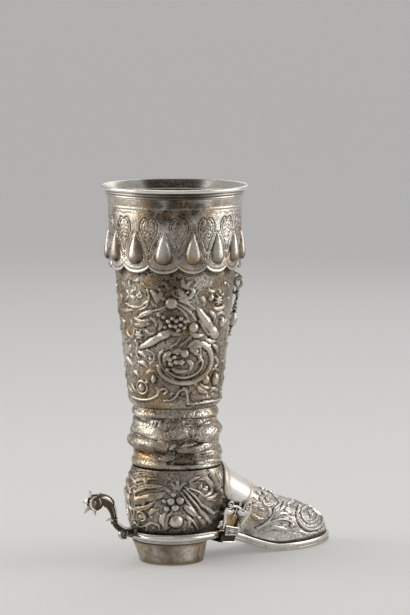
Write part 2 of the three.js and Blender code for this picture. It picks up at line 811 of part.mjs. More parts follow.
function makeSpurNeck() {
  const across = new THREE.Vector3(0, 1, 0);
  const backX = -(HEEL_SEAT_R + SEAM + YOKE_THICK + SEAM);
  const root = new THREE.Vector2(backX, YOKE_Z + 1.1);
  const place = (along, up) =>
    new THREE.Vector3(
      THREE.MathUtils.lerp(root.x, HEAD_AT.x, along),
      0,
      THREE.MathUtils.lerp(root.y, HEAD_AT.z, up),
    );
  const path = new THREE.CatmullRomCurve3(
    [
      [0, 0],
      [0.15, 0.11],
      [0.29, 0.17],
      [0.41, 0.27],
      [0.49, 0.38],
      [0.51, 0.51],
      [0.54, 0.71],
      [0.62, 0.91],
      [0.74, 1.04],
      [0.88, 1.07],
      [1, 1],
    ].map(([along, up]) => place(along, up)),
  );
  const headHalf = ROWEL_T / 2 + SEAM + CHEEK_T;
  const size = (t) => {
    const swell = THREE.MathUtils.smoothstep(t, 0.46, 0.8);
    const waist = Math.exp(-(((t - 0.45) / 0.09) ** 2));
    const broad = THREE.MathUtils.smoothstep(t, 0.3, 0.7);
    return [NECK_HALF * (0.62 + 0.38 * swell - 0.12 * waist), 1.6 + (headHalf - 1.6) * broad];
  };
  let neck = solidOf(bar(path, 22, 10, across, size));
  const head = new THREE.CylinderGeometry(HEAD_R, HEAD_R, 2 * headHalf, 20);
  head.translate(HEAD_AT.x, 0, HEAD_AT.z);
  const curlAt = place(0.26, 0.06);
  const curl = new THREE.CylinderGeometry(VOLUTE_R, VOLUTE_R, 3.4, 18);
  curl.translate(curlAt.x, 0, curlAt.z);
  const eye = new THREE.CylinderGeometry(VOLUTE_R * 0.36, VOLUTE_R * 0.36, 5, 10);
  eye.translate(curlAt.x, 0, curlAt.z);
  const lug = box(6, 3, 3);
  lug.translate(root.x - 3, 0, root.y);
  const barbAt = place(0.6, 0.48);
  const barb = new THREE.ConeGeometry(1.3, 5, 8);
  barb.rotateZ(Math.PI / 2);
  barb.rotateY(Math.PI);
  barb.translate(barbAt.x, 0, barbAt.z);
  const slot = new THREE.CylinderGeometry(ROWEL_R + SEAM, ROWEL_R + SEAM, ROWEL_T + 2 * SEAM, 28);
  slot.translate(ROWEL_AT.x, 0, ROWEL_AT.z);
  const bore = new THREE.CylinderGeometry(PIN_R + RUNNING, PIN_R + RUNNING, 12, 14);
  bore.translate(ROWEL_AT.x, 0, ROWEL_AT.z);
  neck = neck.add(solidOf(head)).add(solidOf(curl)).add(solidOf(lug)).add(solidOf(barb));
  neck = neck.subtract(solidOf(eye)).subtract(solidOf(slot)).subtract(solidOf(bore));
  const yokeSpace = new THREE.CylinderGeometry(-backX, -backX, 40, 64);
  yokeSpace.rotateX(Math.PI / 2);
  return neck.subtract(solidOf(yokeSpace));
}

function makeRowel() {
  const shape = new THREE.Shape();
  for (let i = 0; i < ROWEL_POINTS; i++) {
    const a = ROWEL_FIRST + (2 * Math.PI * i) / ROWEL_POINTS;
    const spots = [
      [ROWEL_HUB_R, -Math.PI / ROWEL_POINTS],
      [ROWEL_HUB_R + 0.3, -0.3],
      [ROWEL_R * 0.66, -0.2],
      [ROWEL_R, 0],
      [ROWEL_R * 0.66, 0.2],
      [ROWEL_HUB_R + 0.3, 0.3],
    ];
    for (const [r, turn] of spots) {
      const x = r * Math.cos(a + turn);
      const z = r * Math.sin(a + turn);
      if (shape.curves.length || shape.currentPoint.x) shape.lineTo(x, z);
      else shape.moveTo(x, z);
    }
  }
  shape.closePath();
  const hole = new THREE.Path();
  hole.absarc(0, 0, PIN_R + RUNNING, 0, 2 * Math.PI, true);
  shape.holes.push(hole);
  const geometry = new THREE.ExtrudeGeometry(shape, {
    depth: ROWEL_T,
    bevelEnabled: false,
    curveSegments: 16,
  });
  geometry.rotateX(Math.PI / 2);
  geometry.translate(ROWEL_AT.x, ROWEL_T / 2, ROWEL_AT.z);
  return solidOf(geometry);
}

function makeRowelPin() {
  const half = ROWEL_T / 2 + SEAM + CHEEK_T + 0.1;
  const end = half + PIN_HEAD_T;
  const geometry = lathe(
    [
      [0, -end],
      [PIN_HEAD_R * 0.6, -end],
      [PIN_HEAD_R, -end + 0.35],
      [PIN_HEAD_R, -half],
      [PIN_R, -half],
      [PIN_R, half],
      [PIN_HEAD_R, half],
      [PIN_HEAD_R, end - 0.35],
      [PIN_HEAD_R * 0.6, end],
      [0, end],
    ],
    16,
  );
  geometry.rotateX(Math.PI / 2);
  geometry.translate(ROWEL_AT.x, 0, ROWEL_AT.z);
  return solidOf(geometry);
}

// Leg ornament: a cast scroll with an eye, beads, a collar, an ovoid drop and a ball

function makeLegOrnament() {
  const topZ = RING_Z - 4.4 * BEAD_R;
  const ballZ = RING_Z - 31.7 * BEAD_R;
  const ballR = 1.6 * BEAD_R;
  const wallAt = (z) => legRadius(z) + SEAM;
  const low = new THREE.Vector3(wallAt(ballZ) + ballR, 0, ballZ);
  const high = new THREE.Vector3(wallAt(topZ) + 4.6 * BEAD_R, 0, topZ);
  const length = high.distanceTo(low);
  const profile = [
    [0, -1.6],
    [1.1, -1.1],
    [1.6, 0],
    [1.1, 1.1],
    [0.6, 1.8],
    [0.7, 3.4],
    [1.7, 5.2],
    [2.4, 8.6],
    [2.3, 11.2],
    [1.3, 14.0],
    [0.9, 14.6],
    [1.6, 15.6],
    [1.6, 17.2],
    [0.8, 18.2],
    [1.2, 19.8],
    [0.7, 21.2],
    [0.7, 22.4],
    [1.2, 24.0],
    [0.7, 25.4],
    [0.7, length / BEAD_R],
    [0, length / BEAD_R],
  ].map(([r, z]) => [r * BEAD_R, z * BEAD_R]);
  const finial = lathe(profile, 12);
  finial.rotateY(Math.atan2(high.x - low.x, high.z - low.z));
  finial.translate(low.x, 0, low.z);
  const ring = new THREE.TorusGeometry(2.2 * BEAD_R, 0.85 * BEAD_R, 8, 18);
  ring.scale(0.75, 1.35, 1.1);
  ring.rotateX(Math.PI / 2);
  ring.translate(high.x, 0, RING_Z - 0.6 * BEAD_R);
  const beside = (out, up) => {
    const z = RING_Z + up * BEAD_R;
    return new THREE.Vector3(wallAt(z) + out * BEAD_R, 0, z);
  };
  const crest = new THREE.CatmullRomCurve3(
    [
      [0.9, 5.4],
      [3.2, 4.4],
      [5.2, 2.4],
    ].map(([out, up]) => beside(out, up)),
  );
  const back = new THREE.CatmullRomCurve3(
    [
      [0.9, 5.4],
      [0.9, 0],
      [0.9, -5.8],
      [2.2, -7],
      [4.2, -5.4],
    ].map(([out, up]) => beside(out, up)),
  );
  const across = new THREE.Vector3(0, 1, 0);
  let solid = solidOf(finial).add(solidOf(ring));
  solid = solid.add(solidOf(bar(crest, 6, 8, across, () => [0.75 * BEAD_R, 1.5 * BEAD_R])));
  solid = solid.add(solidOf(bar(back, 10, 8, across, () => [0.75 * BEAD_R, BEAD_R])));
  const levels = [-48, -28, -8, 8].map((up) => RING_Z + up * BEAD_R);
  const wall = levels.map((z) => [wallAt(z), z]);
  const leg = lathe([[0, levels[0]], ...wall, [0, levels[3]]], 96);
  solid = solid.subtract(solidOf(leg));
  const geometry = geometryOf(solid);
  geometry.rotateZ(ORNAMENT_TURN);
  geometry.translate(LEG_X, 0, 0);
  return solidOf(geometry);
}

// Assembly

const BRIGHT = { color: 0xc9c5bb, roughness: 0.3, metalness: 1 };
const TONED = { color: 0xa89f90, roughness: 0.38, metalness: 1 };
const DARK = { color: 0x7d756a, roughness: 0.42, metalness: 1 };

const PIECES = [
  ["heel_plate", makeHeelPlate, TONED],
  ["heel", makeHeel, TONED],
  ["sole", makeSole, BRIGHT],
  ["counter", makeCounter, TONED],
  ["vamp", makeVamp, BRIGHT],
  ["instep_strap", makeInstepStrap, BRIGHT],
  ["sole_strap", makeSoleStrap, TONED],
  ["buckle_frame", makeBuckleFrame, BRIGHT],
  ["buckle_tongue", makeBuckleTongue, BRIGHT],
  ["strap_end", makeStrapEnd, BRIGHT],
  ["ankle", makeAnkle, TONED],
  ["leg", makeLeg, TONED],
  ["cuff", makeCuff, BRIGHT],
  ["rim_lip", makeRimLip, BRIGHT],
  ["leg_ornament", makeLegOrnament, BRIGHT],
  ["spur_yoke", makeSpurYoke, BRIGHT],
  ["spur_neck", makeSpurNeck, DARK],
  ["rowel", makeRowel, BRIGHT],
  ["rowel_pin", makeRowelPin, DARK],
];

const cup = new THREE.Group();
for (const [name, make, finish] of PIECES) {
  const mesh = new THREE.Mesh(geometryOf(make()), new THREE.MeshStandardMaterial(finish));
  mesh.name = name;
  cup.add(mesh);
}

export default cup;
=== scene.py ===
# Boot-shaped silver cup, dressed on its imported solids. Shapes are worked out in millimetres
# in the solids' own frame and turned into metres when a mesh is made.
import math

import bmesh
import bpy
import numpy as np
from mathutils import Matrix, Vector


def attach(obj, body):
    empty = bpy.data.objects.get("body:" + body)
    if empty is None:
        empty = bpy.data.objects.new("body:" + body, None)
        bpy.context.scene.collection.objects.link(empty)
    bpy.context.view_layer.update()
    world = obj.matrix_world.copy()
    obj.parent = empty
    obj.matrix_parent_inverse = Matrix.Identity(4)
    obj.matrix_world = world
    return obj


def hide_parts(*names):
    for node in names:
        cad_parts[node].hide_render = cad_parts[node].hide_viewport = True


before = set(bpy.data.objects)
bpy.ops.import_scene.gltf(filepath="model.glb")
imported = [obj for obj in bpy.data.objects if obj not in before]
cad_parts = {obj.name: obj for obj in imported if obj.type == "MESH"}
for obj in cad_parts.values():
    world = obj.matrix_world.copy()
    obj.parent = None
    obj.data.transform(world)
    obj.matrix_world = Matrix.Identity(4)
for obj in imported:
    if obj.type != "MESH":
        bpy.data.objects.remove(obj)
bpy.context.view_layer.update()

MM = 0.001

# Sizes that the solids are built from
WALL, SEAM = 1.1, 0.3
HEEL_BASE_R, HEEL_TOP_R, HEEL_TOP_Z, HEEL_LEAN = 19.4, 22.8, 13.3, 1.2
HEEL_PLATE_T, HEEL_SEAT_R = 1.2, 23.6
SOLE_T, WAIST_X, WAIST_HALF, BALL_X, BALL_HALF, TOE_X = 4.6, 40, 14.3, 80, 18.8, 116.2
TOE_SPRING, ARCH_BACK_X, ARCH_FRONT_X, WELT, SEAT_WELT = 1.2, 22, 72, 1.6, 1.3
THROAT_X, THROAT_R, THROAT_Z = 3.8, 26.8, 58
BACK_SWELL, BACK_RISE, BACK_FLARE, SIDE_SWELL = 9.0, 15, 6, 3.6
INSTEP_REACH, INSTEP_DROP, TOE_HEIGHT, TOE_BLUNT = 33.6, 30.5, 25, 2.2
LEG_X, ANKLE_R, ANKLE_TOP_Z, SPIGOT_H = 2.6, 24.9, 94.5, 3.6
LEG_FOOT_R, LEG_LOW_R, LEG_LOW_Z, LEG_TOP_R, LEG_TOP_Z = 24.9, 28.3, 104, 38.7, 213
LEG_BOW, COLLAR_Z, CHASED_TOP_Z = 0.6, 221, 186
CUFF_TOP_R, CUFF_R, HEM_R, HEM_TIP_Z, HEM_CUSP_Z, LINE_Z = 40.7, 39.9, 39.3, 177.5, 181.3, 215.5
BOSS_COUNT, BOSS_LENGTH, BOSS_WIDTH, BOSS_RISE, BOSS_FOOT_Z = 15, 17.8, 8.7, 2.7, 182.8
BOSS_FIRST, BOSS_DRIFT = math.radians(177.6), math.radians(3.2)
LIP_R, LIP_Z = 44.2, 227
YOKE_THICK, YOKE_TALL, YOKE_Z, YOKE_ARM_X, YOKE_ARM_IN = 3.2, 4.7, 17.1, 15, 1.4
ROWEL_R, ROWEL_T, ROWEL_POINTS = 8.4, 1.1, 6
PIN_R, PIN_HEAD_R, PIN_HEAD_T, CHEEK_T = 0.9, 1.6, 0.8, 1.1
ROWEL_FIRST = math.radians(164.5)
ROWEL_AT = np.array([-56.1, 0.0, 40.2])
HEAD_AT = np.array([-54.4, 0.0, 40.2])
STRAP_X, STRAP_BOW, STRAP_HALF, STRAP_TAIL_HALF, STRAP_T = 33.3, 8, 11.5, 5.5, 1.2
BUCKLE_LEAN = math.radians(19)
BUCKLE_AT = (31.5, 27.0)
STRAP_END_Y = 18.93
ORNAMENT_TURN, RING_Z = math.radians(-20), 167.9

# Handles and bends of the foot's outline, the shoe's side and the leg's foot
OUTLINE_STEPS, HIP_TURN, HIP_LEAD = 80, math.radians(70), 9
WAIST_BACK, WAIST_LEAD, BALL_BACK, TOE_ROUND, TOE_NOSE = 11, 12, 14, 20, 8
SHOE_PULL, SHOE_NARROW, THROAT_OUT, THROAT_DROP, FRONT_FLAT = 1.6, 0.9999, 0.6, 10, 0.4
LEG_FLARE, LEG_FLARE_LEFT = 0.92, 0.08
ORNAMENT_SIDE = -64
ANKLE_FOOT_SWELL, ANKLE_FOOT_TALL, FOLD_MEAN = 1.1, 6, 1.6

# The side that faces the camera, seen from the cup's axis
NEAR = math.radians(-124)


# Small helpers

def smooth(x, low, high):
    t = np.clip((x - low) / (high - low), 0, 1)
    return t * t * (3 - 2 * t)


def lerp(a, b, t):
    return a + (b - a) * t


def unit(v):
    return v / np.maximum(np.linalg.norm(v, axis=-1, keepdims=True), 1e-12)


def spline(points, steps=12):
    """Catmull-Rom curve through points of any dimension."""
    p = np.array(points, float)
    if len(p) == 2:
        return lerp(p[0], p[1], np.linspace(0, 1, steps + 1)[:, None])
    p = np.concatenate([[2 * p[0] - p[1]], p, [2 * p[-1] - p[-2]]])
    t = np.linspace(0, 1, steps, endpoint=False)[:, None]
    out = []
    for a, b, c, d in zip(p, p[1:], p[2:], p[3:]):
        out.append(0.5 * (2 * b + (c - a) * t + (2 * a - 5 * b + 4 * c - d) * t**2
                          + (3 * b - a - 3 * c + d) * t**3))
    return np.concatenate(out + [p[-2:-1]])


def even(points, step, measured=None):
    """The same line with its points at an even spacing, and each point's share of the way. The
    spacing is measured in all coordinates or in so many first ones."""
    gaps = np.linalg.norm(np.diff(points[:, :measured], axis=0), axis=1)
    along = np.concatenate([[0], np.cumsum(gaps)])
    count = max(int(along[-1] / step), 2)
    at = np.linspace(0, along[-1], count + 1)
    line = np.stack([np.interp(at, along, points[:, k]) for k in range(points.shape[1])], 1)
    return line, at / max(along[-1], 1e-9)


def wrap_blur(h, passes, wrap=True):
    """Softens a grid of heights; columns run round the piece."""
    for _ in range(passes):
        if wrap:
            h = (np.roll(h, 1, 1) + 2 * h + np.roll(h, -1, 1)) / 4
        else:
            e = np.concatenate([h[:, :1], h, h[:, -1:]], 1)
            h = (e[:, :-2] + 2 * h + e[:, 2:]) / 4
        e = np.concatenate([h[:1], h, h[-1:]], 0)
        h = (e[:-2] + 2 * h + e[2:]) / 4
    return h


# Base surfaces

def leg_radius(z):
    up = np.clip((z - LEG_LOW_Z) / (LEG_TOP_Z - LEG_LOW_Z), 0, 1)
    high = lerp(LEG_LOW_R, LEG_TOP_R, up) + LEG_BOW * np.sin(np.pi * up)
    foot = ANKLE_TOP_Z + SEAM
    down = np.clip((LEG_LOW_Z - z) / (LEG_LOW_Z - foot), 0, 1)
    bend = (1 - np.sqrt(1 - LEG_FLARE * down**3)) / (1 - math.sqrt(LEG_FLARE_LEFT))
    low = LEG_LOW_R - (LEG_LOW_R - LEG_FOOT_R) * bend
    return np.where(z >= LEG_LOW_Z, high, low)


def leg_at(turn, z):
    r = leg_radius(z)
    return np.stack([LEG_X + r * np.cos(turn), r * np.sin(turn), z + 0 * turn], -1)


def bezier(p, t):
    p = [np.asarray(q, float) for q in p]
    return (1 - t)**3 * p[0] + 3 * (1 - t)**2 * t * p[1] + 3 * (1 - t) * t * t * p[2] + t**3 * p[3]


def outline(seat, waist, ball, toe, steps=OUTLINE_STEPS):
    """One half (y >= 0) of the foot's outline, from the heel round to the toe."""
    t = np.linspace(0, 1, steps)[1:, None]
    arc = np.linspace(math.pi, HIP_TURN, steps)
    hip = np.array([seat * math.cos(HIP_TURN), seat * math.sin(HIP_TURN)])
    lead = hip + HIP_LEAD * np.array([math.sin(HIP_TURN), -math.cos(HIP_TURN)])
    return np.concatenate([
        np.stack([seat * np.cos(arc), seat * np.sin(arc)], 1),
        bezier([hip, lead, (WAIST_X - WAIST_BACK, waist), (WAIST_X, waist)], t),
        bezier([(WAIST_X, waist), (WAIST_X + WAIST_LEAD, waist), (BALL_X - BALL_BACK, ball),
                (BALL_X, ball)], t),
        bezier([(BALL_X, ball), (toe - TOE_ROUND, ball), (toe, TOE_NOSE), (toe, 0)], t),
    ])


def underside(x):
    toe = np.clip((x - BALL_X) / (TOE_X - BALL_X), 0, 1)
    return HEEL_TOP_Z * (1 - smooth(x, ARCH_BACK_X, ARCH_FRONT_X)) + TOE_SPRING * toe * toe


FOOT = outline(HEEL_SEAT_R - SEAT_WELT, WAIST_HALF - SEAT_WELT, BALL_HALF - WELT, TOE_X - WELT)


def shoe_at(turn, t):
    """The shoe's upper: turn runs from the toe, t from the throat down to the sole."""
    turn, t = np.broadcast_arrays(np.asarray(turn, float), np.asarray(t, float))
    c, s = np.cos(turn), np.sin(turn)
    front, back, none = np.maximum(c, 0), np.maximum(-c, 0), 0 * c
    pull = front**SHOE_PULL
    top = np.stack([THROAT_X + THROAT_R * c, THROAT_R * s, THROAT_Z + none], -1)
    reach = np.where(c > 0, TOE_X - WELT - THROAT_X, THROAT_X + HEEL_SEAT_R - SEAT_WELT)
    x = THROAT_X + reach * c * SHOE_NARROW
    half = np.interp(x, FOOT[:, 0], FOOT[:, 1])
    foot = np.stack([x, np.sign(s) * half * (np.abs(s) > 1e-6), underside(x) + SOLE_T - 1], -1)
    a = top + np.stack([INSTEP_REACH * pull - BACK_FLARE * back, THROAT_OUT * s,
                        -INSTEP_DROP * pull - THROAT_DROP * (1 - pull)], -1)
    b = foot + np.stack([-TOE_BLUNT * pull - BACK_SWELL * back, SIDE_SWELL * s * (1 - FRONT_FLAT * front),
                         TOE_HEIGHT * pull + BACK_RISE * (1 - pull)], -1)
    t = t[..., None]
    return (1 - t)**3 * top + 3 * (1 - t)**2 * t * a + 3 * (1 - t) * t * t * b + t**3 * foot


def ankle_swell(turn, z):
    """How far the folds stand out: each has a height, a rise and half a width."""
    front = (1 + np.cos(turn)) / 2
    back = 1 - front
    swell = 0 * turn + 0 * z
    for at, rise, half in (
        (90.6, 1.3, 3.0),
        (80.2 - 1.5 * back, 1.2 + 2.2 * front, 5.2),
        (66.6 + 7.2 * back, 2.4 + 0.8 * back, 4.6),
        (61.2, 0.7, 2.0),
    ):
        away = np.abs(z - at) / half
        swell = np.maximum(swell, np.where(away < 1, rise * np.cos(np.minimum(away, 1) * np.pi / 2)**1.2, 0))
    return swell


def ankle_at(turn, z):
    low = THROAT_Z + SEAM
    x = THROAT_X + (z - low) / (ANKLE_TOP_Z - low) * (LEG_X - THROAT_X)
    r = ANKLE_R + ANKLE_FOOT_SWELL * (1 - smooth(z, low, low + ANKLE_FOOT_TALL)) + ankle_swell(turn, z)
    return np.stack([x + r * np.cos(turn), r * np.sin(turn), z + 0 * turn], -1)


def facing(at, u, v):
    """Outward unit normals of a surface whose u runs anticlockwise and v runs along it."""
    step_u = 1e-4
    step_v = step_u * (1 if at is shoe_at else 50)
    du = at(u + step_u, v) - at(u - step_u, v)
    dv = at(u, v + step_v) - at(u, v - step_v)
    n = unit(np.cross(du, dv))
    return -n if at is shoe_at else n


# Relief

class Relief:
    """A dense skin over a base surface, with raised and engraved work on it, in mm."""

    def __init__(self, at, u, v, seed=1):
        self.at = at
        self.u, self.v = u, v
        self.base = at(u, v)
        self.normal = facing(at, u, v)
        self.flat = self.base.reshape(-1, 3)
        self.height = np.zeros(u.size)
        self.stain = np.zeros(u.size)
        # Painted shade, laid over the patina of the hollows
        self.dark = np.zeros(u.size)
        self.random = np.random.default_rng(seed)

    def samples(self, path, step):
        """Places along a path, as points and on the surface, with each one's share of the way."""
        line = spline(path)
        both = np.concatenate([self.at(line[:, 0], line[:, 1]), line], 1)
        both, share = even(both, step, 3)
        return both[:, :3], both[:, 3:], share

    def close(self, path, half, step=0.3):
        """Vertices near a path: their index, share along, place across and nearness."""
        spots, line, share = self.samples(path, step)
        wide = half(share) if callable(half) else np.full(len(share), float(half))
        reach = wide.max()
        low, high = spots.min(0) - reach, spots.max(0) + reach
        hit = np.nonzero(np.all((self.flat > low) & (self.flat < high), 1))[0]
        if not len(hit):
            return hit, hit, hit, hit
        away = self.flat[hit][:, None] - spots[None]
        ratio = np.linalg.norm(away, axis=2) / np.maximum(wide, 1e-3)
        best = ratio.argmin(1)
        r = ratio[np.arange(len(hit)), best]
        keep = r < 1
        hit, best, r = hit[keep], best[keep], r[keep]
        tangent = unit(np.gradient(spots, axis=0))
        normal = facing(self.at, line[:, 0], line[:, 1])
        side = np.cross(normal, tangent)
        q = np.einsum("ij,ij->i", self.flat[hit] - spots[best], side[best]) / wide[best]
        return hit, share[best], q, r

    def raise_to(self, hit, h, over=0.0):
        self.height[hit] = np.maximum(self.height[hit], h + over * self.height[hit])

    def stem(self, path, half, rise, ribs=0, over=0.0):
        """A rounded bar whose half width tapers from half[0] to half[1]."""
        a, b = half if isinstance(half, tuple) else (half, half)
        hit, share, q, r = self.close(path, lambda f: lerp(a, b, f))
        if len(hit):
            h = rise * lerp(1, b / a, share)**0.5 * np.sqrt(1 - r * r)
            if ribs:
                h = h * (0.74 + 0.26 * np.cos(2 * np.pi * ribs * q / 2))
            self.raise_to(hit, h, over)

    def leaf(self, path, half, rise, lobes=0, veins=6, cup=0.25):
        """A leaf from its stalk to its tip, with a sunk midrib, slanting veins and lobes."""
        def wide(f):
            w = half * np.sin(np.pi * np.clip(f, 0.02, 0.985)**0.8)**0.75
            if lobes:
                w = w * (0.74 + 0.26 * np.abs(np.cos(np.pi * lobes * f)))
            return w + 0.12
        hit, share, q, r = self.close(path, wide)
        if len(hit):
            body = (1 - r**2.4) ** 0.6
            vein = 1 - cup * (0.5 - 0.5 * np.cos(2 * np.pi * (veins * share - 0.9 * np.abs(q))))
            rib = 1 - 0.45 * np.exp(-(q / 0.16)**2)
            lift = 0.7 + 0.3 * np.sin(np.pi * share)
            self.raise_to(hit, rise * body * vein * rib * lift)

    def horn(self, path, half, rise):
        """A smooth swelling body, widest at its middle, with a lip at its start."""
        knots = [0, 0.12, 0.2, 0.5, 0.85, 1]

        def wide(f):
            return np.interp(f, knots, [half, half * 1.05, half * 0.8, half, half * 0.55, 0.25])
        hit, share, _, r = self.close(path, wide)
        if len(hit):
            tall = np.interp(share, knots, [0.75, 0.85, 0.7, 1, 0.6, 0.2])
            self.raise_to(hit, rise * tall * np.sqrt(1 - r**2))

    def bead(self, at, r, rise, long=1.0, lean=0.0, flat=0.0, over=0.0):
        """A dome or, with long, an oval one leaned by so many degrees."""
        hit, a, b = self.around(at, r * max(long, 1))
        c, s = math.cos(math.radians(lean)), math.sin(math.radians(lean))
        a, b = a * c + b * s, (b * c - a * s) / long
        d = np.hypot(a, b) / r
        keep = d < 1
        h = rise * np.sqrt(1 - d[keep]**2)
        if flat:
            h = np.minimum(h, rise * flat)
        self.raise_to(hit[keep], h, over)

    def around(self, at, reach):
        """Vertices near a place and how far east and up of it they lie."""
        u, v = np.array([at[0]]), np.array([at[1]])
        spot, normal = self.at(u, v)[0], facing(self.at, u, v)[0]
        hit = np.nonzero(np.all(np.abs(self.flat - spot) < reach, 1))[0]
        east = unit(np.cross([0, 0, 1.0], normal))
        up = np.cross(normal, east)
        away = self.flat[hit] - spot
        return hit, away @ east, away @ up

    def polar(self, at, reach):
        """Vertices near a place with their distance and angle from it."""
        hit, a, b = self.around(at, reach)
        return hit, np.hypot(a, b), np.arctan2(b, a)

    def flower(self, at, r, rise, petals=6, turn=0.0):
        hit, d, angle = self.polar(at, r)
        d = d / r
        wave = 0.82 + 0.18 * np.cos(petals * (angle - math.radians(turn)))
        keep = d < wave
        d, wave, hit = d[keep], wave[keep], hit[keep]
        ring = np.sqrt(np.clip(1 - ((d / wave - 0.62) / 0.38)**2, 0, 1))
        eye = np.sqrt(np.clip(1 - (d / 0.3)**2, 0, 1)) * 1.1
        self.raise_to(hit, rise * np.maximum(ring * (0.6 + 0.4 * wave), eye))

    def shell(self, at, r, rise, aim, spread=75, ribs=7):
        """A fan of ribs opening towards aim (degrees from the right-hand side, upwards)."""
        hit, d, angle = self.polar(at, r)
        off = np.degrees(np.angle(np.exp(1j * (angle - math.radians(aim))))) / spread
        d = d / r
        edge = 0.9 + 0.1 * np.abs(np.cos(np.pi * ribs * off / 2))
        keep = (np.abs(off) < 1) & (d < edge)
        d, off, hit, edge = d[keep], off[keep], hit[keep], edge[keep]
        body = np.sqrt(np.clip(1 - (d / edge)**4, 0, 1)) * (0.35 + 0.65 * d)
        rib = 0.68 + 0.32 * np.cos(np.pi * ribs * off)
        self.raise_to(hit, rise * body * rib * (1 - off**6))
        self.bead(at, r * 0.22, rise * 0.9)

    def curl(self, at, r, rise, half, turns=1.4, start=0.0, hand=1, eye=0.3, inward=0.78):
        """A spiral bar that winds in to a round eye."""
        spot_u, spot_v = at
        f = np.linspace(0, 1, 40)
        angle = math.radians(start) + hand * 2 * np.pi * turns * f
        reach = r * (1 - inward * f)
        du, dv = self.steps_at(at)
        up = -1 if self.at is shoe_at else 1
        path = np.stack([spot_u + reach * np.cos(angle) / du, spot_v + up * reach * np.sin(angle) / dv], 1)
        self.stem(path[::3], (half, half * (0.55 if inward else 1)), rise)
        if eye:
            self.bead(at, r * eye, rise * 1.1)

    def ring(self, at, r, rise, half):
        """A rounded bar round a circle."""
        self.curl(at, r, rise, half, turns=1.0, eye=0, inward=0)

    def line(self, path, half, depth):
        """An engraved line."""
        hit, _, _, r = self.close(path, lambda f: np.full(np.shape(f), half * 1.6), 0.25)
        if len(hit):
            self.height[hit] -= depth * np.exp(-(r * 1.6)**2 * 1.5)

    def hollow(self, at, r, depth):
        hit, d, _ = self.polar(at, r)
        keep = d < r
        self.height[hit[keep]] -= depth * (1 - (d[keep] / r)**2)**2

    def spot(self, at, r, amount):
        """Marks a warm stain."""
        self.stain = np.maximum(self.stain, self.fading(at, r, amount))

    def soot(self, at, r, amount):
        """Paints a dark patch of shade."""
        self.dark = np.maximum(self.dark, self.fading(at, r, amount))

    def fading(self, at, r, amount):
        """An amount that falls off with the distance from a place."""
        place = self.at(np.array([at[0]]), np.array([at[1]]))[0]
        d = np.linalg.norm(self.flat - place, axis=1) / r
        return amount * np.exp(-d * d * 1.5)

    def steps_at(self, at):
        """Millimetres on the surface per unit of u and of v."""
        u, v = at
        e = 1e-3
        k = 10 if self.at is not shoe_at else 1
        spots = self.at(np.array([u, u + e, u]), np.array([v, v, v + e * k]))
        return np.linalg.norm(spots[1] - spots[0]) / e, np.linalg.norm(spots[2] - spots[0]) / (e * k)

    def fill(self, tries, size, rise, low, high, keep=lambda u: True):
        """Small leaves, tendrils and pearls where the larger work leaves the ground free."""
        for _ in range(tries):
            k = self.random.integers(self.u.size)
            u, v = self.u.flat[k], self.v.flat[k]
            r = size * self.random.uniform(0.7, 1.25)
            aim, kind = self.random.uniform(0, 2 * np.pi), self.random.integers(4)
            if not low < v < high or not keep(u):
                continue
            hit = self.around((u, v), r * 1.15)[0]
            if not len(hit) or self.height[hit].max() > 0.2:
                continue
            du, dv = self.steps_at((u, v))
            bend = self.random.uniform(-0.7, 0.7)
            path = [(u + k * r * math.cos(aim + bend * k) / du, v + k * r * math.sin(aim + bend * k) / dv)
                    for k in (-0.95, -0.45, 0, 0.45, 0.95)]
            if kind < 2:
                self.leaf(path, r * 0.42, rise, veins=3)
            elif kind == 2:
                self.stem(path, (r * 0.26, r * 0.12), rise * 0.8)
                self.bead(path[0], r * 0.36, rise)
            else:
                self.curl((u, v), r * 0.8, rise * 0.9, r * 0.2, turns=1.1, start=math.degrees(aim), eye=0.35)

    def grid(self):
        return self.height.reshape(self.u.shape)

    def softened(self, wrap=True):
        return wrap_blur(self.grid(), 1, wrap)

    def lifted(self, height):
        """The base surface moved out by a height."""
        return self.base + self.normal * height[..., None]


AT_ONE_PLACE = ("bead", "flower", "shell", "curl", "ring", "spot", "soot", "hollow")


def chase(skin, work, place):
    """Works rows of raised and engraved pieces into a skin; place turns a row's places into
    the surface's own, or into None where that piece is left out."""
    for kind, places, size, rise, *rest in work:
        path = place(places)
        if path is None:
            continue
        options = rest[0] if rest else {}
        if kind in AT_ONE_PLACE:
            path = path[0]
        if kind == "scroll":
            kind, options = "stem", {"ribs": 3}
        getattr(skin, kind)(path, size, rise, **options)


# Places read off the photograph, which is 410 pixels wide and 615 tall

PHOTO_WIDE, PHOTO_TALL, PIXELS_PER_MM = 410, 615, 1.684
VIEW_TURN, VIEW_PITCH = math.radians(34), math.radians(6.99)
VIEW_AWAY, VIEW_HEIGHT, VIEW_FOCUS = 1850.0, 380.0, 3115.0
AXIS_COLUMN = 171.7
RIGHT = np.array([math.cos(VIEW_TURN), -math.sin(VIEW_TURN), 0.0])
AHEAD = np.array([math.sin(VIEW_TURN), math.cos(VIEW_TURN), 0.0])
AXIS_DEPTH = VIEW_AWAY * np.cos(VIEW_PITCH) + VIEW_HEIGHT * np.sin(VIEW_PITCH)
AXIS_BESIDE = (AXIS_COLUMN - PHOTO_WIDE / 2) * AXIS_DEPTH / VIEW_FOCUS
EYE = -AXIS_BESIDE * RIGHT - VIEW_AWAY * AHEAD + np.array([0, 0, VIEW_HEIGHT])


def project(spots):
    """The photograph's column and row of places in millimetres."""
    beside = spots @ RIGHT + AXIS_BESIDE
    ahead = spots @ AHEAD + VIEW_AWAY
    above = spots[..., 2] - VIEW_HEIGHT
    depth = ahead * np.cos(VIEW_PITCH) - above * np.sin(VIEW_PITCH)
    up = above * np.cos(VIEW_PITCH) + ahead * np.sin(VIEW_PITCH)
    return PHOTO_WIDE / 2 + VIEW_FOCUS * beside / depth, PHOTO_TALL / 2 - VIEW_FOCUS * up / depth


